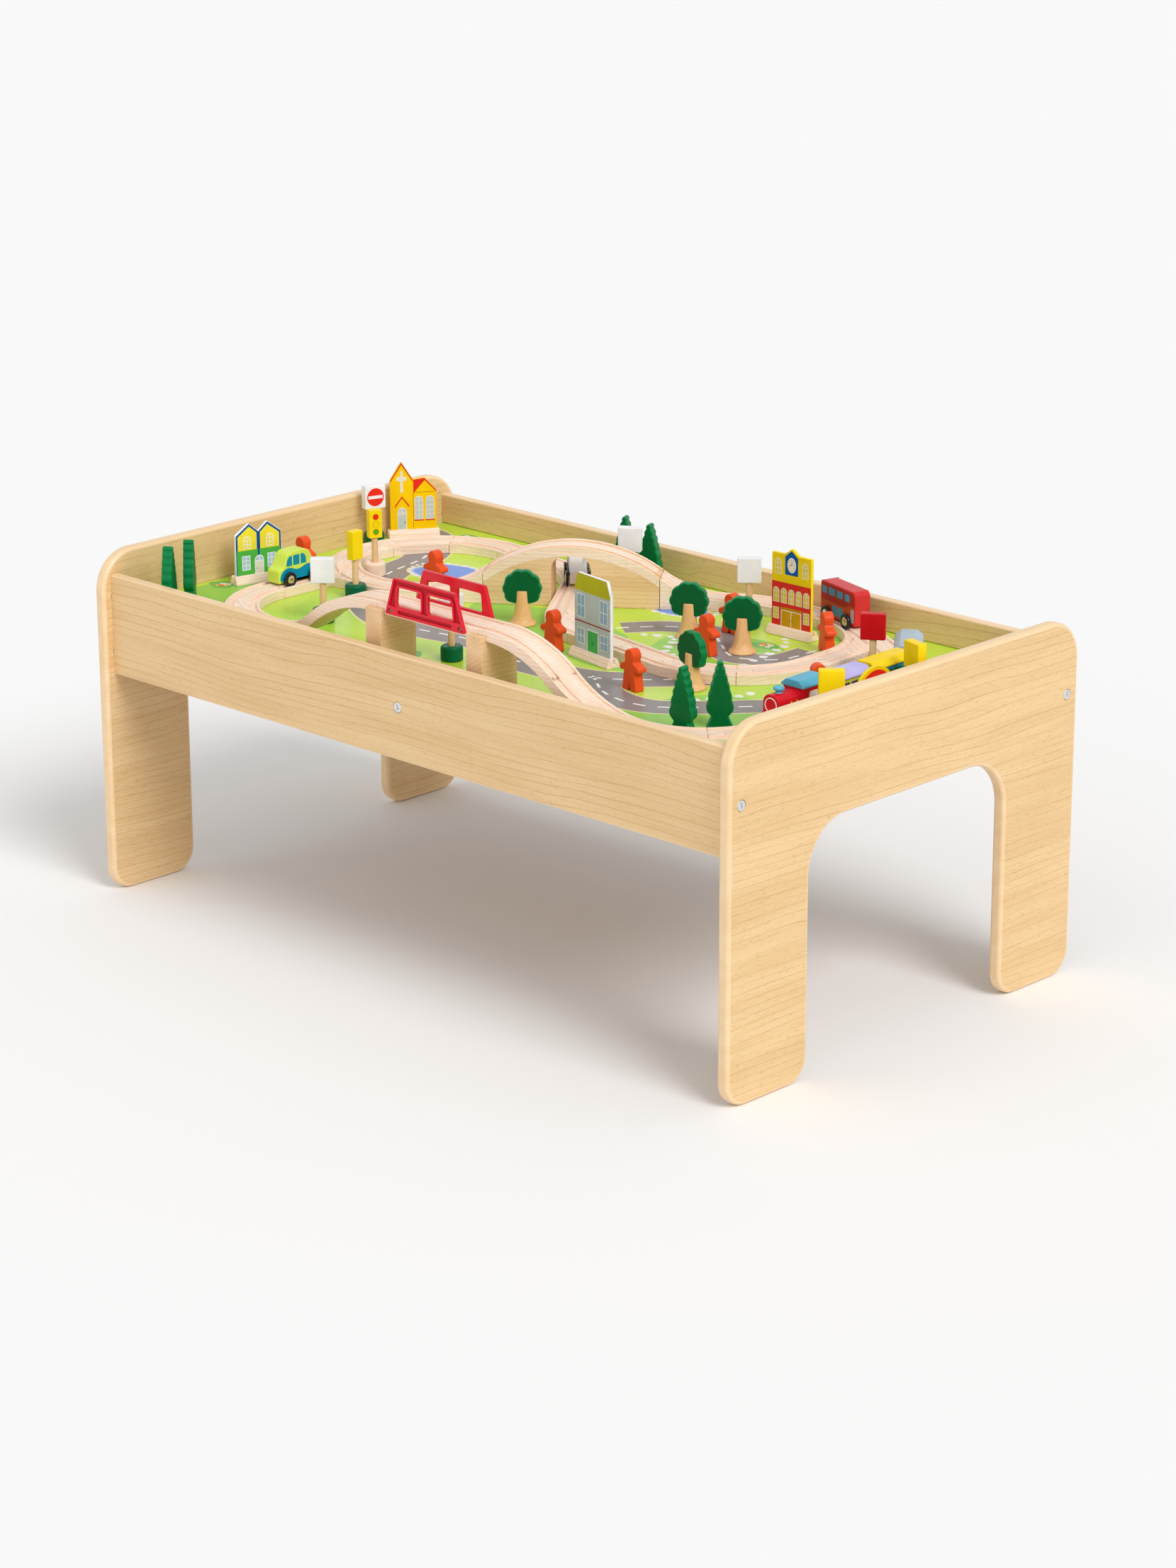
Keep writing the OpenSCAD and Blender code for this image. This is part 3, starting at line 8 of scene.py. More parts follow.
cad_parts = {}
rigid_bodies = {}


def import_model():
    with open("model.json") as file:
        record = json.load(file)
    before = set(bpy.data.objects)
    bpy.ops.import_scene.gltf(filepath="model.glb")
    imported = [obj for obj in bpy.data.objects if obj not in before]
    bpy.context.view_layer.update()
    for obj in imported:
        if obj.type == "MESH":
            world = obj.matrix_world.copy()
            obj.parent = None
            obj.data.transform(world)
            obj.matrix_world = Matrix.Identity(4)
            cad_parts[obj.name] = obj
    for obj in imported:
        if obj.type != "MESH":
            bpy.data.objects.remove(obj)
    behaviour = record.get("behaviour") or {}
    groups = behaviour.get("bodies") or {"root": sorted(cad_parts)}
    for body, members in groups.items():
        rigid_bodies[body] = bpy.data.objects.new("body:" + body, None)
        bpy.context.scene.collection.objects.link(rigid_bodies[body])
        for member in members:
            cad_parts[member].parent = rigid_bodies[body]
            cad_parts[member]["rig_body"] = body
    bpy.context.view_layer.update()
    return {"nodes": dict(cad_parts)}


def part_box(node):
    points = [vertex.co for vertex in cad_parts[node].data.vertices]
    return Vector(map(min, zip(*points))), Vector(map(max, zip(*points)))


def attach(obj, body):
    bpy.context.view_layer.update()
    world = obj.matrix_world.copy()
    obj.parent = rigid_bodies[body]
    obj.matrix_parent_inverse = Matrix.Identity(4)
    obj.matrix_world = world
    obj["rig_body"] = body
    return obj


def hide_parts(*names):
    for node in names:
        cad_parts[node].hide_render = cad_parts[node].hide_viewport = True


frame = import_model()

scene = bpy.context.scene
mm = 0.001
up = Vector((0, 0, 1))


def srgb(r, g, b):  # screen colour, 0 to 255, to the linear colour of a socket
    lin = [((c / 255 + 0.055) / 1.055) ** 2.4 if c > 10 else c / 255 / 12.92 for c in (r, g, b)]
    return (*lin, 1.0)


def shade(colour, k):
    return (*[min(1.0, c * k) for c in colour[:3]], 1.0)


# node helpers

def put(tree, kind, inputs=None, **props):
    node = tree.nodes.new(kind)
    for name, value in props.items():
        setattr(node, name, value)
    for name, value in (inputs or {}).items():
        if isinstance(value, bpy.types.NodeSocket):
            tree.links.new(value, node.inputs[name])
        else:
            node.inputs[name].default_value = value
    return node


def calc(tree, operation, *values):
    return put(tree, "ShaderNodeMath", dict(enumerate(values)), operation=operation).outputs[0]


def newMaterial(name):
    mat = bpy.data.materials.new(name)
    mat.use_nodes = True
    return mat, mat.node_tree, mat.node_tree.nodes["Principled BSDF"]


# camera, studio floor and light

shot = {"place": (3.0232, -3.0990, 1.5876), "yaw": 44.067, "pitch": 18.091, "roll": -0.168, "lens": 92.73}
studio = {"paper": srgb(247, 247, 247), "sky": 0.58, "sun": 1.7, "sunAngle": 28, "sunFrom": (0.74, -0.14, 0.7),
          "fill": 0.68, "fillAngle": 90, "fillFrom": (0.1, -0.9, 0.27), "floorReach": 40, "floorDrop": 0.3}


def makeCamera():
    yaw, pitch, roll = (math.radians(shot[k]) for k in ("yaw", "pitch", "roll"))
    back = Vector((math.sin(yaw) * math.cos(pitch), -math.cos(yaw) * math.cos(pitch), math.sin(pitch)))
    right = Vector((math.cos(yaw), math.sin(yaw), 0))
    top = back.cross(right)
    side = math.cos(roll) * right + math.sin(roll) * top
    top = math.cos(roll) * top - math.sin(roll) * right
    data = bpy.data.cameras.new("photoCamera")
    data.sensor_fit, data.sensor_height, data.lens = "VERTICAL", 36, shot["lens"]
    data.clip_start, data.clip_end = 0.05, 200
    cam = bpy.data.objects.new("photoCamera", data)
    cam.matrix_world = Matrix((side, top, back)).transposed().to_4x4()
    cam.location = shot["place"]
    scene.collection.objects.link(cam)
    scene.camera = cam


def seenDirectly(tree):  # 1 for camera, glossy and transmission rays
    path = put(tree, "ShaderNodeLightPath").outputs
    seen = calc(tree, "MAXIMUM", path["Is Camera Ray"], path["Is Glossy Ray"])
    return calc(tree, "MAXIMUM", seen, path["Is Transmission Ray"])


def makeStudio():
    world = bpy.data.worlds.new("studioAir")
    world.use_nodes = True
    tree = world.node_tree
    tree.nodes.clear()
    soft = put(tree, "ShaderNodeBackground", {"Color": (1, 1, 1, 1), "Strength": studio["sky"]})
    paper = put(tree, "ShaderNodeBackground", {"Color": studio["paper"], "Strength": 1.0})
    both = put(tree, "ShaderNodeMixShader", {0: seenDirectly(tree), 1: soft.outputs[0], 2: paper.outputs[0]})
    put(tree, "ShaderNodeOutputWorld", {"Surface": both.outputs[0]})
    scene.world = world
    for name in ("sun", "fill"):
        lamp = bpy.data.lights.new(name, "SUN")
        lamp.energy, lamp.angle = studio[name], math.radians(studio[name + "Angle"])
        holder = bpy.data.objects.new(name, lamp)
        holder.rotation_euler = Vector(studio[name + "From"]).to_track_quat("Z", "Y").to_euler()
        scene.collection.objects.link(holder)
    mesh = bpy.data.meshes.new("floor")
    r = studio["floorReach"]
    mesh.from_pydata([(-r, -r, 0), (r, -r, 0), (r, r, 0), (-r, r, 0)], [], [(0, 1, 2, 3)])
    mat, tree, body = newMaterial("floorPaper")
    for key, value in (("Base Color", studio["paper"]), ("Roughness", 0.9), ("Specular IOR Level", 0.1)):
        body.inputs[key].default_value = value
    mesh.materials.append(mat)
    floor = bpy.data.objects.new("floor", mesh)
    scene.collection.objects.link(floor)
    floor.location.z = -studio["floorDrop"] * mm


makeCamera()
makeStudio()
scene.view_settings.view_transform = "Standard"
print("stage: camera, floor and light")


# finishes: wood reads the grainSpace attribute of its piece (along, across, up in metres)

woodKeys = ("light", "dark", "line", "ring", "swing", "start", "lines", "fleck", "rough")
woodLooks = {
    "beech": ((232, 199, 148), (224, 188, 135), (192, 142, 88), 0.0092, 0.06, 0.82, 0.5, 0.42, 0.4),
    "beechEdge": ((242, 211, 168), (235, 201, 155), (220, 178, 128), 0.006, 0.02, 0.3, 0.1, 0.05, 0.36),
    "track": ((254, 232, 213), (246, 217, 192), (216, 172, 132), 0.0046, 0.018, 0.4, 0.3, 0.34, 0.5),
    "bridge": ((240, 204, 160), (230, 188, 140), (204, 152, 104), 0.0052, 0.02, 0.4, 0.3, 0.4, 0.48),
    "turned": ((240, 204, 156), (228, 186, 134), (200, 148, 98), 0.0034, 0.012, 0.4, 0.32, 0.4, 0.5),
    "trunk": ((242, 194, 136), (232, 178, 118), (206, 146, 88), 0.004, 0.012, 0.4, 0.28, 0.34, 0.46),
    "boardBack": ((176, 140, 98), (150, 114, 76), (128, 94, 60), 0.02, 0.03, 0.4, 0.15, 0.7, 0.7)}


def mixColour(tree, factor, a, b):
    return put(tree, "ShaderNodeMix", {0: factor, 6: a, 7: b}, data_type="RGBA").outputs[2]


def scaled(tree, vector, sizes):
    return put(tree, "ShaderNodeMapping", {"Vector": vector, "Scale": sizes}).outputs[0]


def noise(tree, vector, size, detail):
    return put(tree, "ShaderNodeTexNoise", {"Vector": vector, "Scale": size, "Detail": detail}).outputs[0]


def ramp(tree, value, low, high):
    return put(tree, "ShaderNodeMapRange", {0: value, 1: low, 2: high}, interpolation_type="SMOOTHSTEP").outputs[0]


def coverWith(tree, body, colour, texture, roughSpan, roughLow, bumpStrength=0, bumpDistance=0, height=None):
    tree.links.new(colour, body.inputs["Base Color"])
    tree.links.new(calc(tree, "MULTIPLY_ADD", texture, roughSpan, roughLow), body.inputs["Roughness"])
    if height is not None:
        bump = put(tree, "ShaderNodeBump", {"Strength": bumpStrength, "Distance": bumpDistance, "Height": height})
        tree.links.new(bump.outputs[0], body.inputs["Normal"])


def woodFinish(name):
    look = dict(zip(woodKeys, woodLooks[name]))
    light, dark, line = (srgb(*look[key]) for key in woodKeys[:3])
    mat, tree, body = newMaterial(name + "Wood")
    place = put(tree, "ShaderNodeAttribute", attribute_name="grainSpace").outputs["Vector"]

    def grain(along, across, detail=2.0):  # noise drawn out along the grain
        return noise(tree, scaled(tree, place, (along, across, across)), 1.0, detail)

    def blend(colour, mask, share, other):
        return mixColour(tree, calc(tree, "MULTIPLY", mask, share), colour, other)

    parts = put(tree, "ShaderNodeSeparateXYZ", {0: place}).outputs
    level = calc(tree, "MULTIPLY_ADD", parts[1], 0.6, parts[2])
    level = calc(tree, "MULTIPLY_ADD", grain(1.7, 7), look["swing"], level)  # bends the growth lines
    level = calc(tree, "MULTIPLY_ADD", grain(12, 60), look["ring"] * 0.5, level)
    saw = calc(tree, "FRACT", calc(tree, "DIVIDE", level, look["ring"]))
    late = calc(tree, "MULTIPLY", ramp(tree, saw, look["start"], 0.96), ramp(tree, saw, 1.0, 0.97))
    late = calc(tree, "MULTIPLY", late, ramp(tree, grain(3, 45), 0.25, 0.55))  # some lines fade out
    flecks = ramp(tree, grain(110, 1200), 0.58, 0.72)
    fine = grain(14, 700)
    colour = mixColour(tree, ramp(tree, grain(5, 60, 4.0), 0.3, 0.72), light, dark)
    colour = blend(colour, late, look["lines"], line)
    colour = blend(colour, ramp(tree, fine, 0.45, 0.75), 0.16, line)
    colour = blend(colour, flecks, look["fleck"], shade(line, 0.66))
    relief = calc(tree, "SUBTRACT", calc(tree, "MULTIPLY", fine, 0.6), flecks)
    coverWith(tree, body, colour, fine, 0.14, look["rough"] - 0.07, 0.12, 0.0004, relief)
    body.inputs["Specular IOR Level"].default_value = 0.4
    return mat


def paintFinish(name, colour, rough=0.36, coat=0.03, vary=0.07, grain=0.05, gloss=0.14):
    mat, tree, body = newMaterial(name)
    colour = srgb(*colour)
    place = put(tree, "ShaderNodeTexCoord").outputs["Object"]
    cloud = ramp(tree, noise(tree, place, 45.0, 4.0), 0.3, 0.7)
    tint = mixColour(tree, cloud, shade(colour, 1 - vary), shade(colour, 1 + vary * 0.5))
    wear = ramp(tree, noise(tree, place, 320.0, 3.0), 0.7, 0.8)  # specks where the coat is thin
    tint = mixColour(tree, calc(tree, "MULTIPLY", wear, 0.06), tint, shade(colour, 0.6))
    fine = noise(tree, place, 900.0, 2.0)
    fibre = noise(tree, scaled(tree, place, (900, 900, 60)), 1.0, 2.0)  # wood fibres show through the paint
    coverWith(tree, body, tint, fine, 0.12, rough - 0.06, grain, 0.0004, calc(tree, "ADD", fine, fibre))
    for key, value in (("Specular IOR Level", gloss), ("Coat Weight", coat), ("Coat Roughness", 0.12)):
        body.inputs[key].default_value = value
    return mat


def metalFinish(name, colour, rough):
    mat, tree, body = newMaterial(name)
    colour = srgb(*colour)
    marks = noise(tree, put(tree, "ShaderNodeTexCoord").outputs["Object"], 700.0, 3.0)
    coverWith(tree, body, mixColour(tree, marks, shade(colour, 0.85), shade(colour, 1.08)), marks, 0.2, rough - 0.1)
    body.inputs["Metallic"].default_value = 1.0
    return mat


paints = {  # screen colours of the painted and moulded pieces
    # the darker railing red is painted shade for the sunk floors of the railings
    "red": (214, 22, 38), "railRed": (222, 18, 40), "railDeep": (186, 14, 34), "signRed": (200, 14, 24),
    "trimRed": (218, 66, 24), "roofRed": (236, 44, 28), "lineRed": (158, 48, 50), "yellow": (255, 204, 0),
    "lemon": (248, 228, 60), "signYellow": (250, 216, 14), "schoolYellow": (238, 204, 16),
    "schoolEdge": (255, 226, 34), "brick": (220, 48, 38), "gold": (210, 154, 14), "darkGold": (196, 136, 6),
    "mustard": (224, 200, 62), "amber": (250, 180, 20), "lime": (210, 230, 88), "teal": (0, 140, 178),
    "white": (242, 241, 243), "offWhite": (238, 237, 234), "bone": (234, 226, 212), "mist": (194, 206, 204),
    "pane": (150, 182, 208), "skyBlue": (92, 176, 206), "paleBlue": (176, 208, 230), "blue": (4, 84, 158),
    "wallGrey": (190, 198, 198), "slate": (84, 80, 110), "olive": (190, 184, 36), "houseGreen": (84, 182, 72),
    # the brighter tree green is a painted highlight for the rims of the trees
    "doorGreen": (72, 178, 88), "green": (0, 103, 51), "darkGreen": (0, 92, 46), "treeEdge": (0, 124, 67),
    "baseGreen": (0, 98, 62), "lampGreen": (96, 168, 24), "orange": (234, 84, 34), "lavender": (190, 184, 236),
    "wagonBlue": (44, 134, 176), "roofGrey": (174, 190, 200), "wagonGrey": (206, 210, 208), "busRed": (208, 52, 52),
    "busSide": (172, 34, 34), "busLow": (192, 76, 42), "busPane": (76, 148, 192), "windowGrey": (140, 154, 162),
    "check": (28, 66, 120), "dark": (42, 44, 50), "black": (22, 22, 24), "cream": (242, 228, 202),
    "leafTrim": (120, 176, 92)}
finishes = {name: paintFinish(name + "Paint", value) for name, value in paints.items()}
finishes["black"] = paintFinish("tyreBlack", paints["black"], 0.3, 0.3, 0.2, 0.05, 0.3)
finishes["railRed"] = paintFinish("railingPlastic", paints["railRed"], 0.26, 0.12, 0.04, 0.03, 0.25)
finishes.update({name: woodFinish(name) for name in woodLooks})
finishes["steel"] = metalFinish("steel", (226, 226, 228), 0.3)
finishes["screwSteel"] = metalFinish("screwSteel", (128, 118, 108), 0.4)
finishes["chrome"] = metalFinish("hubChrome", (228, 214, 186), 0.22)
print("stage: finishes", len(finishes))


# shaping helpers

def nodeShape(node):  # a merged copy of a CAD node, flat faces joined again
    bm = bmesh.new()
    bm.from_mesh(frame["nodes"][node].data)
    bmesh.ops.remove_doubles(bm, verts=bm.verts, dist=2e-6)
    bmesh.ops.dissolve_limit(bm, angle_limit=math.radians(0.6), verts=bm.verts, edges=bm.edges)
    for face in bm.faces:
        face.material_index = 0
    return bm


def roundEdges(bm, width, segments=2, sharp=28, slot=-1, keep=None):
    edges = [e for e in bm.edges if len(e.link_faces) == 2 and e.calc_face_angle(0) > math.radians(sharp)
             and (keep is None or keep(e))]
    bmesh.ops.bevel(bm, geom=edges, offset=width * mm, segments=segments, profile=0.5, affect="EDGES",
                    clamp_overlap=False, material=slot)


def groups(bm):  # the separate solids of a shape, as lists of vertices in an order that is the same each run
    seen, found = set(), []
    for seed in bm.verts:
        if seed not in seen:
            seen.add(seed)
            part = [seed]
            for v in part:  # grows as it goes
                for other in (edge.other_vert(v) for edge in v.link_edges):
                    if other not in seen:
                        seen.add(other)
                        part.append(other)
            found.append(part)
    found.sort(key=lambda vs: (round(sum(v.co.x for v in vs) / len(vs), 4), round(min(v.co.y for v in vs), 4)))
    return found


def facesOf(part):
    return {f for v in part for f in v.link_faces}


def boxOf(part):
    lo = Vector([min(v.co[i] for v in part) for i in range(3)])
    hi = Vector([max(v.co[i] for v in part) for i in range(3)])
    return lo, hi


def mainWay(part):  # longest level direction of a solid
    xs = [v.co.x for v in part]
    ys = [v.co.y for v in part]
    cx, cy = sum(xs) / len(xs), sum(ys) / len(ys)
    xx = sum((x - cx) ** 2 for x in xs)
    yy = sum((y - cy) ** 2 for y in ys)
    xy = sum((x - cx) * (y - cy) for x, y in zip(xs, ys))
    turn = 0.5 * math.atan2(2 * xy, xx - yy)
    return Vector((math.cos(turn), math.sin(turn), 0))


def setGrain(bm, way=None, seed=1, spread=0.012):
    layer = bm.verts.layers.float_vector.new("grainSpace")
    dice = random.Random(seed)
    for part in groups(bm):
        along = Vector(way) if way else mainWay(part)
        upward = up if abs(along.z) < 0.9 else Vector((1, 0, 0))
        across = upward.cross(along).normalized()
        centre = sum((v.co for v in part), Vector()) / len(part)
        shift = Vector((dice.uniform(-2, 2), dice.uniform(-spread, spread), dice.uniform(-spread, spread) / 3))
        for v in part:
            d = v.co - centre
            v[layer] = Vector((d.dot(along), d.dot(across), d.dot(upward))) + shift


def finishShape(bm, node, finishNames, smooth=38):  # stands for the node and rides its body
    name = camel(node)
    mesh = bpy.data.meshes.new(name)
    bm.normal_update()
    bm.to_mesh(mesh)
    bm.free()
    for key in finishNames:
        mesh.materials.append(finishes[key])
    for face in mesh.polygons:
        face.use_smooth = True
    mesh.set_sharp_from_angle(angle=math.radians(smooth))
    piece = bpy.data.objects.new(name, mesh)
    scene.collection.objects.link(piece)
    level = piece.modifiers.new("level", "WEIGHTED_NORMAL")
    level.keep_sharp = True
    plain = bpy.data.meshes.new_from_object(piece.evaluated_get(bpy.context.evaluated_depsgraph_get()))
    piece.modifiers.clear()
    piece.data = plain
    plain.name = name
    bpy.data.meshes.remove(mesh)
    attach(piece, frame["nodes"][node]["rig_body"])
    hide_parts(node)


def plainPiece(node, finish, edge=0, steps=2, sharp=28, way=None, seed=0, smooth=38):
    bm = nodeShape(node)  # one finish, soft edges, and a grain where a seed is given
    if edge:
        roundEdges(bm, edge, steps, sharp)
    if seed:
        setGrain(bm, way, seed)
    finishShape(bm, node, [finish], smooth)


def camel(node):
    words = node.split("_")
    return words[0] + "".join(w.capitalize() for w in words[1:])


def skin(bm, rows, place, slot=0, closed=False, caps=False):  # through outlines of equal count, (outline, height) in mm
    made = [[bm.verts.new(place @ Vector((u * mm, v * mm, w * mm))) for u, v in line] for line, w in rows]
    n = len(made[0])
    faces = [bm.faces.new((a[i], a[(i + 1) % n], b[(i + 1) % n], b[i]))
             for a, b in zip(made, made[1:] + made[:1] * closed) for i in range(n)]
    if caps:
        faces += [bm.faces.new(made[0][::-1]), bm.faces.new(made[-1])]
    for face in faces:
        face.material_index = slot
    bmesh.ops.recalc_face_normals(bm, faces=faces)
    return made, faces


def slab(bm, outline, place, low, high, slot):  # a flat closed prism, outline in mm in the place's plane
    return skin(bm, [(outline, low), (outline, high)], place, slot, caps=True)[0]


def arc(x, y, r, angles, tall=1.0):  # points of a circle at angles in degrees
    return [(x + r * math.cos(math.radians(a)), y + r * tall * math.sin(math.radians(a))) for a in angles]


def disc(x, y, r, steps=24, tall=1.0):
    return arc(x, y, r, [360 * i / steps for i in range(steps)], tall)


def rect(x, y, w, h):  # lower middle at x, y
    return [(x - w / 2, y), (x + w / 2, y), (x + w / 2, y + h), (x - w / 2, y + h)]


def roundRect(x, y, w, h, r, steps=5):
    corners = rect(x, y + r, w - 2 * r, h - 2 * r)
    return [p for k, (cx, cy) in enumerate(corners)
            for p in arc(cx, cy, r, [90 * (k + 2 + i / steps) for i in range(steps + 1)])]


def arch(x, y, w, h, steps=10):
    return rect(x, y, w, h)[:2] + arc(x, y + h - w / 2, w / 2, [180 * i / steps for i in range(steps + 1)])


paneLift = 0.07  # of a pane over its rim, mm


def paned(x, y, w, h, rim, glass, columns=2, rows=2, arched=False, lift=0.05, bar=1.0):
    # a window as painted shapes: its rim, its panes and the fan of an arched one
    shapes = [(rim, (arch if arched else rect)(x, y, w, h), lift)]
    flat = h - w / 2 if arched else h
    pw, ph = (w - bar * (columns + 1)) / columns, (flat - bar * (rows + 1)) / rows
    for i in range(columns):
        for k in range(rows):
            cx = x - w / 2 + bar + pw / 2 + i * (pw + bar)
            shapes.append((glass, rect(cx, y + bar + k * (ph + bar), pw, ph), lift + paneLift))
    if arched:
        r, base = w / 2 - bar, y + flat
        fan = [(max(bar / 2, u), v) for u, v in arc(0, base, r, range(0, 90, 15))]
        fan = [(bar / 2, base), *fan, (bar / 2, base + r * 0.985)]
        shapes += [(glass, [(x + way * u, v) for u, v in fan], lift + paneLift) for way in (1, -1)]
    return shapes


def panes(xs, *sizes, **looks):  # the same window at several places
    return [shape for x in xs for shape in paned(x, *sizes, **looks)]


def smoothLine(points, steps=8):
    ends, line = [points[0], *points, points[-1]], []
    for p in zip(ends, ends[1:], ends[2:], ends[3:]):
        for s in range(steps):
            t = s / steps
            line.append(tuple(0.5 * (2 * p[1][a] + (p[2][a] - p[0][a]) * t
                                     + (2 * p[0][a] - 5 * p[1][a] + 4 * p[2][a] - p[3][a]) * t * t
                                     + (3 * p[1][a] - p[0][a] - 3 * p[2][a] + p[3][a]) * t ** 3) for a in (0, 1)))
    return line + [tuple(points[-1])]


def lathe(bm, profile, place, steps=32, slots=None):  # profile of (radius, height) in mm about the place's third axis
    rows, faces = [], []
    for r, h in profile:
        ring = disc(0, 0, r, steps) if r else [(0, 0)]
        rows.append([bm.verts.new(place @ Vector((u * mm, v * mm, h * mm))) for u, v in ring])
    for k, (a, b) in enumerate(zip(rows, rows[1:])):
        for i in range(steps):
            j = (i + 1) % steps
            corners = (a[i % len(a)], a[j % len(a)], b[j % len(b)], b[i % len(b)])
            faces.append(bm.faces.new(list(dict.fromkeys(corners))))
            faces[-1].material_index = slots[k] if slots else 0
    bmesh.ops.recalc_face_normals(bm, faces=faces)


def axes(origin, first, second, third):  # a place from its three directions
    m = Matrix((first, second, third)).transposed().to_4x4()
    m.translation = origin
    return m


def fastenerPoints(node):  # outer end and outward direction of each fastener solid
    bm = nodeShape(node)
    tops, ways, length = [], [], 0
    for part in groups(bm):
        lo, hi = boxOf(part)
        size, centre = hi - lo, (lo + hi) / 2
        axis = max(range(3), key=lambda i: size[i])
        wide = [max((v.co - centre).cross(Vector([i == axis for i in range(3)])).length for v in part
                    if abs(v.co[axis] - end[axis]) < 5e-4) for end in (lo, hi)]
        sign = 1 if wide[1] > wide[0] else -1
        way = Vector([sign if i == axis else 0 for i in range(3)])
        tops.append(centre + way * size[axis] / 2)
        ways.append(way)
        length = size[axis] / mm
    bm.free()
    return tops, ways, length


def softCorners(line, r, steps=4):  # corners replaced by arcs
    made, n = [], len(line)
    for i, p in enumerate(line):
        here = Vector(p)
        a, b = Vector(line[i - 1]) - here, Vector(line[(i + 1) % n]) - here
        cut = min(r, a.length * 0.45, b.length * 0.45)
        first, last = here + a.normalized() * cut, here + b.normalized() * cut
        for k in range(steps + 1):
            t = k / steps
            made.append(tuple(first * (1 - t) ** 2 + here * 2 * t * (1 - t) + last * t * t))
    return made


def shifted(line, d):  # a closed line moved to its left
    made, n = [], len(line)
    for i, p in enumerate(line):
        a = (Vector(p) - Vector(line[i - 1])).normalized()
        b = (Vector(line[(i + 1) % n]) - Vector(p)).normalized()
        na, nb = Vector((-a.y, a.x)), Vector((-b.y, b.x))
        made.append(tuple(Vector(p) + (na + nb) * d / (1 + na.dot(nb))))
    return made


print("stage: helpers")


# table: end panels, side boards, rail, dowels

tableSet = {"panelRound": 4.2, "boardRound": 1.8, "railRound": 1.0, "steps": 4, "boltClear": 11, "plug": 5.4,
            "plugProud": 0.04, "nutDepth": 20, "grainSpread": 0.3}


def coverNuts(bm, nuts, along, face):  # the nuts go in from the inside, so the show face is whole
    layer = bm.verts.layers.float_vector["grainSpace"]
    side, across = math.copysign(1, face), up.cross(along)

    def grainAt(v):
        return Vector((v.co.dot(along), v.co.dot(across), v.co.z))

    bm.verts.ensure_lookup_table()
    offset = bm.verts[0][layer] - grainAt(bm.verts[0])
    for nut in nuts:
        if abs(nut.y - face) < tableSet["nutDepth"] * mm and abs(nut.x) > 0.3:  # not those of the cross rail
            spot = axes(Vector((nut.x, face, nut.z)), Vector((-side, 0, 0)), up, Vector((0, side, 0)))
            for ring in slab(bm, disc(0, 0, tableSet["plug"], 32), spot, -0.5, tableSet["plugProud"], 0):
                for v in ring:
                    v[layer] = grainAt(v) + offset


def tablePiece(node, way, faceAxis, width, seed):
    bm = nodeShape(node)
    lo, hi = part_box(node)
    bolts, boltWays = fastenerPoints("bolts")[:2]
    nuts = fastenerPoints("barrel_nuts")[0]
    holes = list(zip(bolts, boltWays)) + [(p, Vector((0, 1, 0))) for p in nuts]

    def outer(edge):  # not the rims of holes, and not the ends that butt against an end panel
        spot = (edge.verts[0].co + edge.verts[1].co) / 2
        if faceAxis == 1 and min(abs(spot.x - lo.x), abs(spot.x - hi.x)) < 0.5 * mm:
            return False
        return all((spot - p).cross(w).length > tableSet["boltClear"] * mm for p, w in holes)

    for face in bm.faces:  # veneered faces, edge strips all round
        face.material_index = 0 if abs(face.normal[faceAxis]) > 0.7 else 1
    roundEdges(bm, width, tableSet["steps"], slot=1, keep=outer)
    setGrain(bm, way, seed, tableSet["grainSpread"])
    if faceAxis == 1:
        coverNuts(bm, nuts, Vector(way), lo.y if lo.y < 0 else hi.y)
    finishShape(bm, node, ["beech", "beechEdge"])


def makeTable():
    for seed, node in enumerate(("left_end_panel", "right_end_panel"), 1):
        tablePiece(node, (0, 1, 0), 0, tableSet["panelRound"], seed)
    for seed, node in enumerate(("front_side_board", "back_side_board"), 5):
        tablePiece(node, (1, 0, 0), 1, tableSet["boardRound"], seed)
    tablePiece("cross_rail", (0, 1, 0), 0, tableSet["railRound"], 9)
    plainPiece("dowels", "turned", edge=0.6, steps=1, way=(1, 0, 0), seed=3)


makeTable()
print("stage: table")


# railway: every loose piece gets a grain of its own

trackSet = {"edge": 0.7, "steps": 2, "sharp": 40, "layer": 11, "archTop": 30}
railwayWoods = (
    ("track", "track_wood", ("loop_switch", "yard_switch", "track_curves", "track_straights", "up_ramp", "down_ramp",
                             "overpass_deck")),
    ("bridge", "bridge_wood", ("overpass_piers", "arch_block")), ("track", "bridge_wood", ("bridge_ramps",)))


def archStrip(bm):  # the track layer shows along the top of the block's sides
    sides = nodeShape("arch_block")
    first = max((f for f in sides.faces if abs(f.normal.z) < 0.1), key=lambda f: f.calc_area()).normal.copy()
    for out in (first, -first):
        along, level = up.cross(out), max(v.co.dot(out) for v in sides.verts)
        flats = [f for f in sides.faces if f.normal.dot(out) > 0.95
                 and abs(f.calc_center_median().dot(out) - level) < 0.3 * mm]
        top = set()
        for loop in (loop for face in flats for loop in face.loops):  # a border runs left along its top
            ends = [(v.co.dot(along) / mm, v.co.z / mm) for v in (loop.vert, loop.link_loop_next.vert)]
            if loop.link_loop_radial_next.face not in flats and ends[1][0] < ends[0][0] - 0.05:
                top.update(ends)
        top = sorted(top)
        band = top + [(u, w - trackSet["layer"]) for u, w in reversed(top)]
        slab(bm, band, axes(out * level, along, up, out), -0.1, 0.12, 1)
    sides.free()


def makeRailway():
    for finish, slot, nodes in railwayWoods:
        for seed, node in enumerate(nodes, 20):
            bm = nodeShape(node)
            roundEdges(bm, trackSet["edge"], trackSet["steps"], trackSet["sharp"])
            if node == "arch_block":
                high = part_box(node)[1].z - trackSet["archTop"] * mm
                for face in bm.faces:
                    face.material_index = int(face.normal.z > 0.35 and face.calc_center_median().z > high)
                archStrip(bm)
            setGrain(bm, None, seed)
            finishShape(bm, node, [finish, "track"])


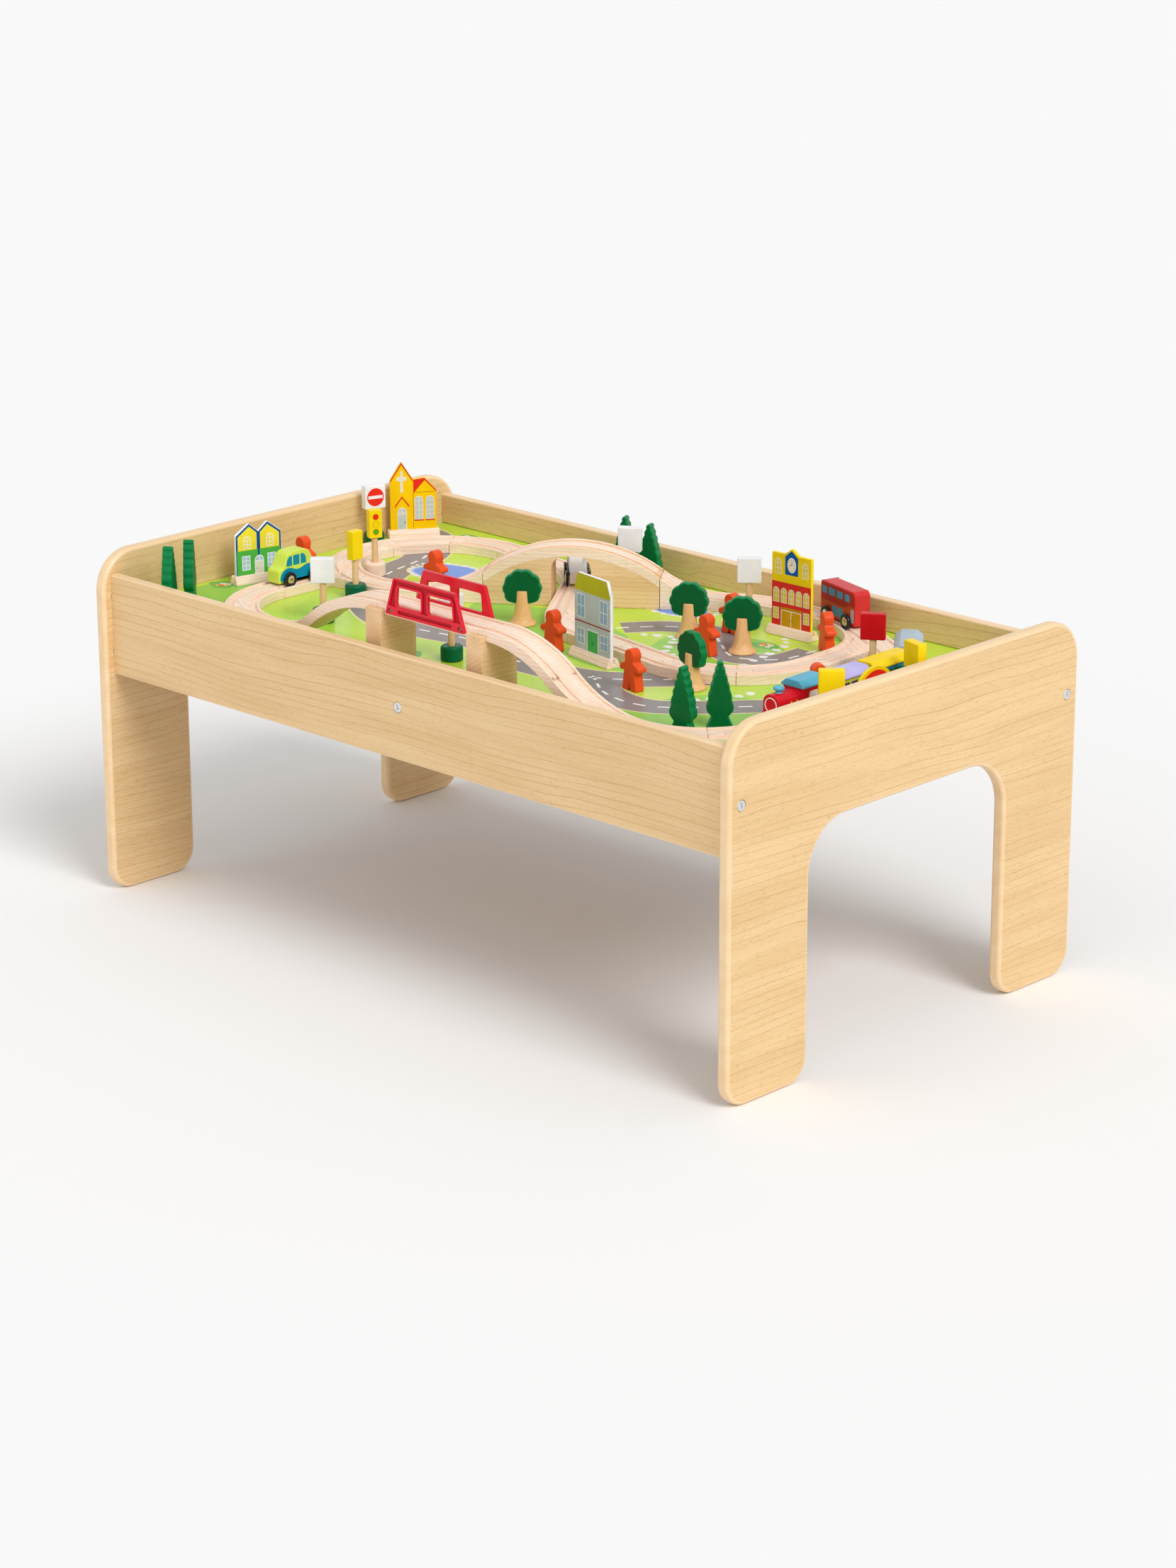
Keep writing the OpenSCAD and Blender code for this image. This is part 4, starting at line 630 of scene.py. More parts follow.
makeRailway()
print("stage: railway")


# node trees: what repeats, and what follows a path

def newTree(name, sockets):
    tree = bpy.data.node_groups.new(name, "GeometryNodeTree")
    face = tree.interface
    face.new_socket("Geometry", in_out="INPUT", socket_type="NodeSocketGeometry")
    for label, kind in sockets:
        face.new_socket(label, in_out="INPUT", socket_type=kind)
    face.new_socket("Geometry", in_out="OUTPUT", socket_type="NodeSocketGeometry")
    return tree, tree.nodes.new("NodeGroupInput"), tree.nodes.new("NodeGroupOutput")


def closeTree(tree, inside, outside, geometry):
    solid = put(tree, "GeometryNodeRealizeInstances", {0: geometry})
    dressed = put(tree, "GeometryNodeSetMaterial", {"Geometry": solid.outputs[0],
                                                    "Material": inside.outputs["Finish"]})
    tree.links.new(dressed.outputs[0], outside.inputs[0])


def scatterTree():  # a template on every point, its top turned along the point's facing attribute
    tree, inside, outside = newTree("templateOnPoints", [("Template", "NodeSocketObject"), ("Size", "NodeSocketFloat"),
                                                         ("Finish", "NodeSocketMaterial")])
    model = put(tree, "GeometryNodeObjectInfo", {"Object": inside.outputs["Template"]})
    facing = put(tree, "GeometryNodeInputNamedAttribute", {"Name": "facing"}, data_type="FLOAT_VECTOR")
    turn = put(tree, "FunctionNodeAlignRotationToVector", {"Vector": facing.outputs[0]}, axis="Z")
    spread = put(tree, "GeometryNodeInstanceOnPoints", {
        "Points": inside.outputs[0], "Instance": model.outputs["Geometry"], "Rotation": turn.outputs[0],
        "Scale": inside.outputs["Size"]})
    closeTree(tree, inside, outside, spread.outputs[0])
    return tree


def bandTree():  # a flat closed band along a line
    tree, inside, outside = newTree("bandAlongLine", [("Width", "NodeSocketFloat"), ("Height", "NodeSocketFloat"),
                                                      ("Finish", "NodeSocketMaterial")])
    line = put(tree, "GeometryNodeMeshToCurve", {0: inside.outputs[0]})
    level = put(tree, "GeometryNodeSetCurveNormal", {0: line.outputs[0]}, mode="Z_UP")
    section = put(tree, "GeometryNodeCurvePrimitiveQuadrilateral",
                  {"Width": inside.outputs["Width"], "Height": inside.outputs["Height"]})
    band = put(tree, "GeometryNodeCurveToMesh", {"Curve": level.outputs[0], "Profile Curve": section.outputs[0],
                                                 "Fill Caps": True})
    closeTree(tree, inside, outside, band.outputs[0])
    return tree


def dashTree():  # flat dashes at an even pitch along a line
    tree, inside, outside = newTree("dashesAlongLine", [("Pitch", "NodeSocketFloat"), ("Dash", "NodeSocketVector"),
                                                        ("Finish", "NodeSocketMaterial")])
    line = put(tree, "GeometryNodeMeshToCurve", {0: inside.outputs[0]})
    points = put(tree, "GeometryNodeCurveToPoints", {0: line.outputs[0], "Length": inside.outputs["Pitch"]},
                 mode="LENGTH")
    dash = put(tree, "GeometryNodeMeshCube", {"Size": inside.outputs["Dash"]})
    turn = put(tree, "FunctionNodeAlignRotationToVector", {"Vector": points.outputs["Tangent"]}, axis="X")
    spread = put(tree, "GeometryNodeInstanceOnPoints", {"Points": points.outputs[0], "Instance": dash.outputs[0],
                                                        "Rotation": turn.outputs[0]})
    closeTree(tree, inside, outside, spread.outputs[0])
    return tree


def runTree(tree, mesh, values):  # a plain mesh from a tree on a base mesh
    base = bpy.data.objects.new("treeBase", mesh)
    scene.collection.objects.link(base)
    step = base.modifiers.new("tree", "NODES")
    step.node_group = tree
    for item in tree.interface.items_tree:
        if item.in_out == "INPUT" and item.name in values:
            step[item.identifier] = values[item.name]
    base.update_tag()
    result = bpy.data.meshes.new_from_object(base.evaluated_get(bpy.context.evaluated_depsgraph_get()))
    bpy.data.objects.remove(base)
    return result


def pointMesh(points, ways):
    mesh = bpy.data.meshes.new("points")
    mesh.from_pydata([tuple(p) for p in points], [], [])
    facing = mesh.attributes.new("facing", "FLOAT_VECTOR", "POINT")
    for i, way in enumerate(ways):
        facing.data[i].vector = way
    return mesh


def lineMesh(points):
    mesh = bpy.data.meshes.new("line")
    mesh.from_pydata([tuple(p) for p in points], [(i, i + 1) for i in range(len(points) - 1)], [])
    return mesh


def addMesh(bm, mesh, slot):  # joins a tree's mesh into a shape under one finish slot
    before = set(bm.faces)
    bm.from_mesh(mesh)
    for face in bm.faces:
        if face not in before:
            face.material_index = slot
    bpy.data.meshes.remove(mesh)


scatter, bands, dashes = scatterTree(), bandTree(), dashTree()


# fasteners: bolts with a cross recess, cross-slot screws, barrel nuts

boltSet = {"head": 6.0, "headHeight": 3.0, "recess": (0.8, 3.3), "recessDepth": 1.9, "shank": 3.0, "pitch": 1.0}
screwSet = {"head": 2.5, "headHeight": 1.0, "slot": 0.45, "slotLength": 1.8, "shank": 1.45, "sunk": 1.9}


def templateObject(bm, name):
    mesh = bpy.data.meshes.new(name)
    bm.to_mesh(mesh)
    bm.free()
    return bpy.data.objects.new(name, mesh)


def boltTemplate(length):  # the head's top is at z = 0, the shank below
    r, h, k, steps = boltSet["head"], boltSet["headHeight"], boltSet["recessDepth"], 48
    wide, long = boltSet["recess"]
    outer, cross = disc(0, 0, r, steps), []
    for i in range(steps):  # cross recess cut into as many points as the rim
        a = math.radians(360 * i / steps)
        turn = abs((math.degrees(a) + 45) % 90 - 45)
        reach = long if turn < 12 else wide / math.sin(math.radians(turn))
        cross.append((reach * math.cos(a), reach * math.sin(a)))
    shank, pitch = boltSet["shank"] / r, boltSet["pitch"]
    rows = [(cross, 0.02, -k), (cross, 0.8, -k * 0.8), (cross, 1, -0.2), (cross, 1.06, 0), (outer, 0.8, 0),
            (outer, 0.93, -0.25), (outer, 1, -0.9), (outer, 1, -h), (outer, shank, -h)]
    for t in range(int((length - h - 1) / pitch)):  # thread
        z = -h - 0.4 - t * pitch
        rows += [(outer, shank * 0.99, z), (outer, shank * 0.88, z - 0.5)]
    rows += [(outer, shank * 0.7, -length), (outer, 0.01, -length)]
    bm = bmesh.new()
    skin(bm, [([(x * g, y * g) for x, y in line], z) for line, g, z in rows], Matrix.Identity(4), caps=True)
    return templateObject(bm, "boltTemplate")


def screwTemplate(length):
    bm = bmesh.new()
    r, h, shank = screwSet["head"], screwSet["headHeight"], screwSet["shank"]
    profile = [(0, -length), (shank * 0.4, -length), (shank, -length + 2), (shank, -h), (r, -h), (r, -h * 0.45),
               (r * 0.85, -h * 0.12), (r * 0.5, 0), (0, 0)]
    lathe(bm, profile, Matrix.Identity(4), 24)
    for turn in (0, 90):  # cross slot, a bar each way
        bar = rect(0, -screwSet["slot"], 2 * screwSet["slotLength"], 2 * screwSet["slot"])
        slab(bm, bar, Matrix.Rotation(math.radians(turn), 4, "Z"), -0.3, 0.03, 0)
    return templateObject(bm, "screwTemplate")


def makeFasteners():
    for node, template, metal, sunk in (("bolts", boltTemplate, "steel", 0),
                                        ("railing_screws", screwTemplate, "screwSteel", screwSet["sunk"])):
        tops, ways, length = fastenerPoints(node)
        spots = pointMesh([p - w * sunk * mm for p, w in zip(tops, ways)], ways)
        model = template(length)
        bm = bmesh.new()
        addMesh(bm, runTree(scatter, spots, {"Template": model, "Size": 1.0, "Finish": finishes[metal]}), 0)
        bpy.data.objects.remove(model)
        finishShape(bm, node, [metal], 30)
    plainPiece("barrel_nuts", "steel", edge=0.3, steps=1, smooth=30)


makeFasteners()
print("stage: fasteners")


# play board: printed sheet with lawns, roads, ponds, beds and stones of its own layout

boardPrint = {
    "lawn": srgb(200, 230, 66), "lawnDark": srgb(164, 214, 70), "meadow": (150, 208, 84), "asphalt": (146, 139, 138),
    "line": (248, 248, 244), "water": (112, 150, 224), "shallow": (164, 194, 240), "sand": (236, 224, 168),
    "bed": (112, 184, 86), "roadWidth": 52, "dash": (15, 3.2, 0.14), "dashPitch": 27, "stoneCount": 26,
    "roads": [([(-474, 203), (-430, 196), (-372, 130), (-345, 40), (-290, -40), (-190, -96), (-60, -84), (30, -110),
                (130, -96), (214, -20), (262, 60), (330, 128), (405, 176), (474, 186)], 1.0, 0.055),
              ([(128, -98), (180, -132), (240, -134), (292, -92), (338, -44), (400, -20), (474, -14)], 0.86, 0.048),
              ([(14, 66), (48, 106), (96, 122), (140, 92), (184, 66), (226, 92), (232, 138)], 0.8, 0.042)],
    "ponds": [(0, 172, 46, 26), (-300, 96, 42, 30)],
    "meadows": [(-410, -150, 52, 84), (-190, 190, 110, 44), (-60, 20, 110, 52), (160, 70, 84, 62), (330, -120, 110, 76),
                (420, 60, 42, 84), (-290, -210, 120, 32), (90, -40, 66, 26), (230, 216, 96, 28)],
    "beds": [(-440, 20, 22), (-230, 60, 18), (-90, -170, 20), (112, 62, 15), (350, 20, 22), (240, -180, 18),
             (60, 224, 16), (430, -180, 20), (-400, 226, 16), (178, 122, 16), (-452, -120, 18)],
    "paths": [[(52, 62), (84, 78), (116, 30), (156, 20)], [(176, 158), (196, 130), (214, 44), (240, 20)],
              [(-60, 60), (-96, 96), (-128, 110)], [(250, -92), (278, -60), (292, -16)]],
    "stepPitch": 15, "step": (4.6, 6.6)}
boardNames = ["boardBack", "lawn", "meadow", "asphalt", "line", "water", "shallow", "sand", "bed", "offWhite", "amber",
              "orange"]
boardSlots = {name: i for i, name in enumerate(boardNames)}
printFoot = -0.02  # every printed shape starts this far inside the board, mm
printHeights = {  # of the first shape of a kind, and the rise to the next, mm
    "meadow": (0.012, 0.003), "pond": (0.058, 0.006), "bed": (0.062, 0.0005), "petal": (0.075, 0.001),
    "stone": (0.085, 0.0005), "heart": (0.09, 0), "step": (0.1, 0.0004)}
printSeeds = {"meadow": 40, "pond": 70, "stoneSize": 5, "stone": 300, "bed": 500, "flower": 90, "path": 700}


def blob(x, y, rx, ry, seed, rough=0.14, steps=44):
    dice = random.Random(seed)
    waves = [(k, dice.uniform(0.3, 1) * rough / k ** 0.5, dice.uniform(0, 6.28)) for k in (2, 3, 5)]
    points = []
    for i in range(steps):
        a = 2 * math.pi * i / steps
        r = 1 + sum(s * math.cos(k * a + p) for k, s, p in waves)
        points.append((x + rx * r * math.cos(a), y + ry * r * math.sin(a)))
    return points


def lawnFinish():
    mat, tree, body = newMaterial("printedLawn")
    place = put(tree, "ShaderNodeTexCoord").outputs["Object"]
    soft = ramp(tree, noise(tree, place, 7.0, 3.0), 0.35, 0.65)
    blades = ramp(tree, noise(tree, place, 240.0, 2.0), 0.4, 0.7)
    colour = mixColour(tree, calc(tree, "MULTIPLY", soft, 0.55), boardPrint["lawn"], boardPrint["lawnDark"])
    colour = mixColour(tree, calc(tree, "MULTIPLY", blades, 0.1), colour, shade(boardPrint["lawnDark"], 0.8))
    fine = noise(tree, place, 1200.0, 1.0)
    coverWith(tree, body, colour, fine, 0.08, 0.24, 0.04, 0.0002, fine)
    return mat


def printOn(bm, outline, top, layer, i, name):
    first, rise = printHeights[layer]
    slab(bm, outline, top, printFoot, first + rise * i, boardSlots[name])


def printRoad(bm, points, scale, height, level):
    line = [Vector((x * mm, y * mm, level)) for x, y in smoothLine(points)]
    width = boardPrint["roadWidth"] * scale * mm
    for grow, drop, name in ((5, 0.01, "sand"), (0, 0, "asphalt")):
        values = {"Width": width + grow * mm, "Height": (height - drop) * 2 * mm, "Finish": finishes[name]}
        addMesh(bm, runTree(bands, lineMesh(line), values), boardSlots[name])
    values = {"Pitch": boardPrint["dashPitch"] * mm, "Dash": [s * mm for s in boardPrint["dash"]],
              "Finish": finishes["line"]}
    addMesh(bm, runTree(dashes, lineMesh(line), values), boardSlots["line"])


def printFlowers(bm, top):
    for i, (x, y, r) in enumerate(boardPrint["beds"]):
        printOn(bm, blob(x, y, r, r * 0.8, printSeeds["bed"] + i, 0.2), top, "bed", i, "bed")
        dice = random.Random(printSeeds["flower"] + i)
        for k in range(7):
            a, d = dice.uniform(0, 6.28), dice.uniform(0.1, 0.7) * r
            cx, cy, s = x + d * math.cos(a), y + d * 0.8 * math.sin(a), dice.uniform(1.6, 2.3)
            petals, heart = (("offWhite", "amber"), ("amber", "offWhite"), ("orange", "amber"))[k % 3]
            for p in range(5):
                b = 2 * math.pi * p / 5 + a
                petal = disc(cx + s * math.cos(b), cy + s * math.sin(b), s * 0.72, 8)
                printOn(bm, petal, top, "petal", p, petals)
            printOn(bm, disc(cx, cy, s * 0.6, 8), top, "heart", 0, heart)


def printSteps(bm, points, top, seed):  # white stepping stones along a line
    dice = random.Random(seed)
    line, gone = smoothLine(points, 24), boardPrint["stepPitch"]
    for k, (a, b) in enumerate(zip(line, line[1:])):
        gone += math.dist(a, b)
        if gone >= boardPrint["stepPitch"]:
            gone = 0
            s = dice.uniform(*boardPrint["step"])
            stone = blob(a[0] + dice.uniform(-2, 2), a[1] + dice.uniform(-2, 2), s, s * 0.8, seed + k, 0.2, 14)
            printOn(bm, stone, top, "step", k, "offWhite")


def printPond(bm, top, i, x, y, rx, ry):
    for k, (grow, name) in enumerate(((1.22, "sand"), (1.1, "shallow"), (1.0, "water"))):
        printOn(bm, blob(x, y, rx * grow, ry * grow, printSeeds["pond"] + i), top, "pond", k, name)
    dice = random.Random(printSeeds["stoneSize"] + i)
    for k in range(boardPrint["stoneCount"]):  # stones round the water
        a = 2 * math.pi * k / boardPrint["stoneCount"]
        s = dice.uniform(2.2, 4.6)
        cx, cy = x + rx * 1.2 * math.cos(a), y + ry * 1.2 * math.sin(a)
        stone = blob(cx, cy, s, s * 0.8, printSeeds["stone"] + k + 40 * i, 0.2, 10)
        printOn(bm, stone, top, "stone", k, "offWhite")


def makeBoard():
    finishes["lawn"] = lawnFinish()
    for key in ("meadow", "asphalt", "line", "water", "shallow", "sand", "bed"):
        finishes[key] = paintFinish("print" + key.capitalize(), boardPrint[key], 0.3, 0.0, 0.06, 0.03)
    bm = nodeShape("play_board")
    for face in bm.faces:
        face.material_index = boardSlots["lawn" if face.normal.z > 0.5 else "boardBack"]
    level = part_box("play_board")[1].z
    top = Matrix.Translation((0, 0, level))
    for i, (x, y, rx, ry) in enumerate(boardPrint["meadows"]):
        printOn(bm, blob(x, y, rx, ry, printSeeds["meadow"] + i), top, "meadow", i, "meadow")
    for points, scale, height in boardPrint["roads"]:
        printRoad(bm, points, scale, height, level)
    for i, points in enumerate(boardPrint["paths"]):
        printSteps(bm, points, top, printSeeds["path"] + 60 * i)
    for i, pond in enumerate(boardPrint["ponds"]):
        printPond(bm, top, i, *pond)
    printFlowers(bm, top)
    setGrain(bm, (1, 0, 0), 3)
    finishShape(bm, "play_board", boardNames)


makeBoard()
print("stage: play board")


# overpass railings: moulded red frames, flat inside, with raised rims and screw feet outside

railingSet = {"corner": 3.0, "edge": 0.35, "window": (11.5, 32.5), "post": 5.5, "sideBar": (14.0, 9.0), "rim": 2.6,
              "frame": 2.4, "sink": 2.0, "strip": 9.4, "slot": (82, 2.8, 3.8), "block": (44.5, 10.2),
              "screw": (53.7, 3.5), "hole": 3.0, "root": 0.3, "frameDrop": 0.15, "stripDrop": 0.05, "footDrop": 0.1,
              "footBase": 0.4, "footGap": 0.6}


def collar(bm, outer, inner, place, low, high):  # a raised rim with broken edges; both outlines run left
    e = railingSet["edge"]
    rows = [(outer, low), (outer, high - e), (shifted(outer, e), high), (shifted(inner, -e), high), (inner, high - e),
            (inner, low)]
    skin(bm, rows, place, closed=True)


def starPoints(line, centre, steps=40):  # a convex outline seen from a centre, as evenly turned points
    points = []
    for k in range(steps):
        way = Vector((math.cos(2 * math.pi * k / steps), math.sin(2 * math.pi * k / steps)))
        reach = 0
        for a, b in zip(line, line[1:] + line[:1]):
            side = Vector(b) - Vector(a)
            turn = way.x * side.y - way.y * side.x
            if abs(turn) > 1e-9:
                to = Vector(a) - Vector(centre)
                far, part = (to.x * side.y - to.y * side.x) / turn, (to.x * way.y - to.y * way.x) / turn
                if far > 0 and -1e-6 <= part <= 1 + 1e-6:
                    reach = max(reach, far)
        points.append((centre[0] + way.x * reach, centre[1] + way.y * reach))
    return points


def pierced(bm, loops, place, low, high):  # a flat plate with windows; the outer line runs left, the windows right
    floors, faces, e = [[], []], [], railingSet["edge"]
    for line in loops:
        made, walls = skin(bm, [(shifted(line, e), low), (line, low + e), (line, high)], place)
        faces += walls
        for floor, row in zip(floors, (made[0], made[-1])):
            floor += [bm.edges.get((a, b)) for a, b in zip(row, row[1:] + row[:1])]
    # the outer floor at the sunk level takes slot 1, a darker red that is painted shade in the recess
    for slot, floor in enumerate(floors):
        filled = bmesh.ops.triangle_fill(bm, use_beauty=True, edges=floor)
        flat = [f for f in filled["geom"] if isinstance(f, bmesh.types.BMFace)]
        for face in flat:
            face.material_index = slot
        faces += flat
    bmesh.ops.recalc_face_normals(bm, faces=faces)


def railing(bm, place, half, topHalf, tall, thick):
    def halfAt(w):
        return half + (topHalf - half) * w / tall

    low, high = railingSet["window"]
    bars, post, corner = railingSet["sideBar"], railingSet["post"], railingSet["corner"]
    line = softCorners([(-half, 0), (half, 0), (topHalf, tall), (-topHalf, tall)], corner)
    right = softCorners([(post, low), (halfAt(low) - bars[0], low), (halfAt(high) - bars[1], high), (post, high)],
                        corner)
    windows = [right, [(-u, w) for u, w in reversed(right)]]
    floor = thick - railingSet["sink"]
    root = floor - railingSet["root"]
    pierced(bm, [line] + [window[::-1] for window in windows], place, 0, floor)
    collar(bm, line, shifted(line, railingSet["rim"]), place, root, thick)
    for window in windows:
        collar(bm, shifted(window, -railingSet["frame"]), window, place, root, thick - railingSet["frameDrop"])
    wide, base, deep = railingSet["slot"]
    inset, rise = railingSet["block"]
    strip = roundRect(0, 0.3, 2 * inset + 2, railingSet["strip"], 0.8)
    collar(bm, strip, roundRect(0, base, wide, deep, 1.4), place, root, thick - railingSet["stripDrop"])
    foot, gap = railingSet["footBase"], railingSet["footGap"]
    block = [(inset, foot), (halfAt(foot) - gap, foot), (halfAt(rise) - gap, rise), (inset, rise)]
    x, y = railingSet["screw"]
    for x, block in ((x, block), (-x, [(-u, w) for u, w in reversed(block)])):
        hole = disc(x, y, railingSet["hole"], 40)
        collar(bm, starPoints(block, (x, y)), hole, place, root, thick - railingSet["footDrop"])


def makeRailings():
    solids = nodeShape("deck_railings")
    deck = sum(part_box("overpass_deck"), Vector()) / 2
    bm = bmesh.new()
    for part in groups(solids):
        lo, hi = boxOf(part)
        centre = (lo + hi) / 2
        out = Vector((0, 1 if centre.y > deck.y else -1, 0))
        tops = [abs(v.co.x - centre.x) for v in part if v.co.z > hi.z - 0.2 * mm]
        inner = lo.y if out.y > 0 else hi.y
        place = axes(Vector((centre.x, inner, lo.z)), up.cross(out), up, out)
        railing(bm, place, (hi.x - lo.x) / 2 / mm, max(tops) / mm, (hi.z - lo.z) / mm, (hi.y - lo.y) / mm)
    solids.free()
    # the second finish is a darker red painted as shade on the sunk outer floors
    finishShape(bm, "deck_railings", ["railRed", "railDeep"], 30)


makeRailings()
print("stage: railings")


# vehicles: places come from their wheelsets, details are thin painted slabs on the solids

axleHeight = 18.3  # of an axle above the play board, mm
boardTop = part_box("play_board")[1].z
wheelSet = {  # profiles of (radius, height) from the inner face out, and how many of their bands are black
    "steps": 32, "out": 11.3, "axle": (2, 12),
    "road": ([(2, 0), (7.2, 0), (8.5, 0.3), (9, 1), (9, 2.5), (8.6, 3.1), (7.6, 3.4), (5.6, 3.4), (5, 2.9), (4.6, 3),
              (4.4, 3.5), (3.4, 4), (1.8, 4.32), (0, 4.4)], 8),
    "rail": ([(2, 0), (7.8, 0), (8.7, 0.3), (9, 0.8), (9, 2.4), (8.6, 3), (8, 3.4), (6.9, 3.4), (6.5, 2.7), (3.6, 2.6),
              (3.2, 3.7), (2.4, 3.9), (2.2, 3.8), (2, 4.25), (1.2, 4.4), (0, 4.4)], 12)}


def waysOf(place):
    return [place.col[i].to_3d() for i in range(3)]


def vehiclePlace(name):
    front, rear = (sum(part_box(name + part), Vector()) / 2 for part in ("_front_wheels", "_rear_wheels"))
    forward = (front - rear).normalized()
    origin = (front + rear) / 2
    origin.z -= axleHeight * mm
    return axes(origin, forward, up.cross(forward), up)


def sidePlace(place, side, half):  # drawing plane on a vehicle's side: along, up, outwards
    f, l, u = waysOf(place)
    return axes(place @ Vector((0, side * half * mm, 0)), f, u, l * side)


def endPlace(place, x, way=1):  # drawing plane on a vehicle's front or back: across, up, outwards
    f, l, u = waysOf(place)
    return axes(place @ Vector((x * mm, 0, 0)), l, u, f * way)


def makeWheels(vehicle, place, kind):
    f, l, u = waysOf(place)
    profile, black = wheelSet[kind]
    slots = [0] * black + [1] * (len(profile) - 1 - black)
    r, half = wheelSet["axle"]
    for part in ("_front_wheels", "_rear_wheels"):
        node = vehicle + part
        centre = sum(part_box(node), Vector()) / 2
        bm = bmesh.new()
        for side in (1, -1):
            spot = axes(centre + l * side * wheelSet["out"] * mm, f, u, l * side)
            lathe(bm, profile, spot, wheelSet["steps"], slots)
        lathe(bm, [(0, -half), (r, -half), (r, half), (0, half)], axes(centre, f, u, l), 20, [1, 1, 1])
        finishShape(bm, node, ["black", "chrome"])


bodySet = {"cornerTurn": 12, "cornerSteps": 4, "cornerAbove": 24, "edgeSteps": 3, "edgeTurn": 24}


def bodyShape(node, width, across=None, corner=0):  # a body with soft edges, its outline's corners rounder
    bm = nodeShape(node)
    if across:
        turn, low = math.radians(bodySet["cornerTurn"]), boardTop + bodySet["cornerAbove"] * mm
        corners = [e for e in bm.edges if len(e.link_faces) == 2 and e.calc_face_angle(0) > turn
                   and abs((e.verts[0].co - e.verts[1].co).normalized().dot(across)) > 0.98
                   and min(v.co.z for v in e.verts) > low]
        bmesh.ops.bevel(bm, geom=corners, offset=corner * mm, segments=bodySet["cornerSteps"], profile=0.5,
                        affect="EDGES", clamp_overlap=True)
        bm.normal_update()
    roundEdges(bm, width, bodySet["edgeSteps"], bodySet["edgeTurn"])
    return bm


def paintOn(bm, place, base, drawing, names):  # thin painted shapes on a drawing plane
    for colour, outline, lift in drawing:
        if colour not in names:
            names.append(colour)
        slab(bm, outline, place, -0.1, base + lift, names.index(colour))


def mirrored(drawing):
    return [(colour, [(-u, v) for u, v in outline], lift) for colour, outline, lift in drawing]


paintLift = 0.2
locoSet = {"halfWidth": 14, "boiler": 11, "edge": 1.0, "window": (-19, 30.5, 15, 12.5), "ring": (8.2, 7.1),
           "ringHeight": 34.5, "straps": (4, 13), "beam": 38, "buffers": ((-8.5, 19), (8.5, 19)),
           "buffer": [(2.6, -0.3), (2.6, 0.5), (2.0, 0.9), (0, 1.0)],  # radius and height
           "chimney": [(0, 0), (3.9, 0), (3.6, 0.1), (3.5, 0.32), (4.0, 0.42), (5.4, 0.48), (5.9, 0.56), (6.0, 0.66),
                       (5.9, 0.82), (5.4, 0.93), (4.4, 1), (0, 1)]}  # radius and share of the height


def makeLoco():
    place = vehiclePlace("loco")
    toBody = place.inverted()
    names = ["red"]
    bm = bodyShape("loco_body", locoSet["edge"])
    x, z, w, h = locoSet["window"]
    window = [("bone", roundRect(x, z, w, h, 3.2), 0), ("white", roundRect(x, z + 1.1, w - 2.2, h - 2.2, 2.4), 0.08)]
    straps = [("yellow", rect(x, 24.8, 1.6, 12), 0) for x in locoSet["straps"]]
    for side in (1, -1):
        paintOn(bm, sidePlace(place, side, locoSet["halfWidth"]), paintLift, window, names)
        paintOn(bm, sidePlace(place, side, locoSet["boiler"]), paintLift, straps, names)
    names += ["offWhite", "dark"]
    front = max((toBody @ v.co).x for v in bm.verts if (toBody @ v.co).z > 30 * mm) / mm
    outer, inner = (disc(0, locoSet["ringHeight"], r, 40) for r in locoSet["ring"])
    skin(bm, [(outer, -0.2), (outer, 0.4), (inner, 0.4), (inner, -0.2)], endPlace(place, front),
         names.index("offWhite"), closed=True)
    beam = endPlace(place, locoSet["beam"])
    for y, z in locoSet["buffers"]:
        spot = beam @ Matrix.Translation((y * mm, z * mm, 0))
        lathe(bm, locoSet["buffer"], spot, 16, [names.index("dark")] * 3)
    finishShape(bm, "loco_body", names)
    plainPiece("loco_roof", "skyBlue", edge=0.9, steps=3, sharp=24)
    bm = bmesh.new()
    lo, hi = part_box("loco_chimney")
    foot = Vector(((lo.x + hi.x) / 2, (lo.y + hi.y) / 2, lo.z))
    lathe(bm, [(r, (hi.z - lo.z) / mm * k) for r, k in locoSet["chimney"]], Matrix.Translation(foot), 36)
    finishShape(bm, "loco_chimney", ["skyBlue"])
    makeWheels("loco", place, "rail")


wagonSet = {"half": 14, "end": 31, "edge": 0.9, "windows": (-21.6, -7.2, 7.2, 21.6), "sill": 26.6,
            "window": (11.4, 12.4), "endWindows": (-6.4, 6.4), "endWindow": 9.6, "trim": (23.2, 1.6), "roofEdge": 1.4}
wagonColours = {"first_wagon": ("lime", "lavender", "slate", "amber"),  # wall, roof, glass, trim
                "second_wagon": ("wagonBlue", "signYellow", "green", "lime"),
                "third_wagon": ("wagonGrey", "roofGrey", "slate", "leafTrim")}


def makeWagon(name):
    place = vehiclePlace(name)
    toBody = place.inverted()
    wall, roof, glass, trim = wagonColours[name]
    names = [wall, "chrome"]
    bm = bodyShape(name + "_body", wagonSet["edge"])
    for face in bm.faces:  # coupling magnets are bright metal
        if abs((toBody @ face.calc_center_median()).x) > (wagonSet["end"] + 0.35) * mm:
            face.material_index = 1
    w, h = wagonSet["window"]
    low, tall = wagonSet["trim"]

    def wallDrawing(xs, wide, length):
        windows = [(glass, roundRect(x, wagonSet["sill"], wide, h, 1.6), 0) for x in xs]
        return windows + [(trim, rect(0, low, length, tall), 0)]

    for side in (1, -1):
        long = wallDrawing(wagonSet["windows"], w, 60)
        short = wallDrawing(wagonSet["endWindows"], wagonSet["endWindow"], 26)
        paintOn(bm, sidePlace(place, side, wagonSet["half"]), paintLift, long, names)
        paintOn(bm, endPlace(place, side * wagonSet["end"], side), paintLift, short, names)
    finishShape(bm, name + "_body", names)
    plainPiece(name + "_roof", roof, edge=wagonSet["roofEdge"], steps=3, sharp=24)
    makeWheels(name, place, "rail")


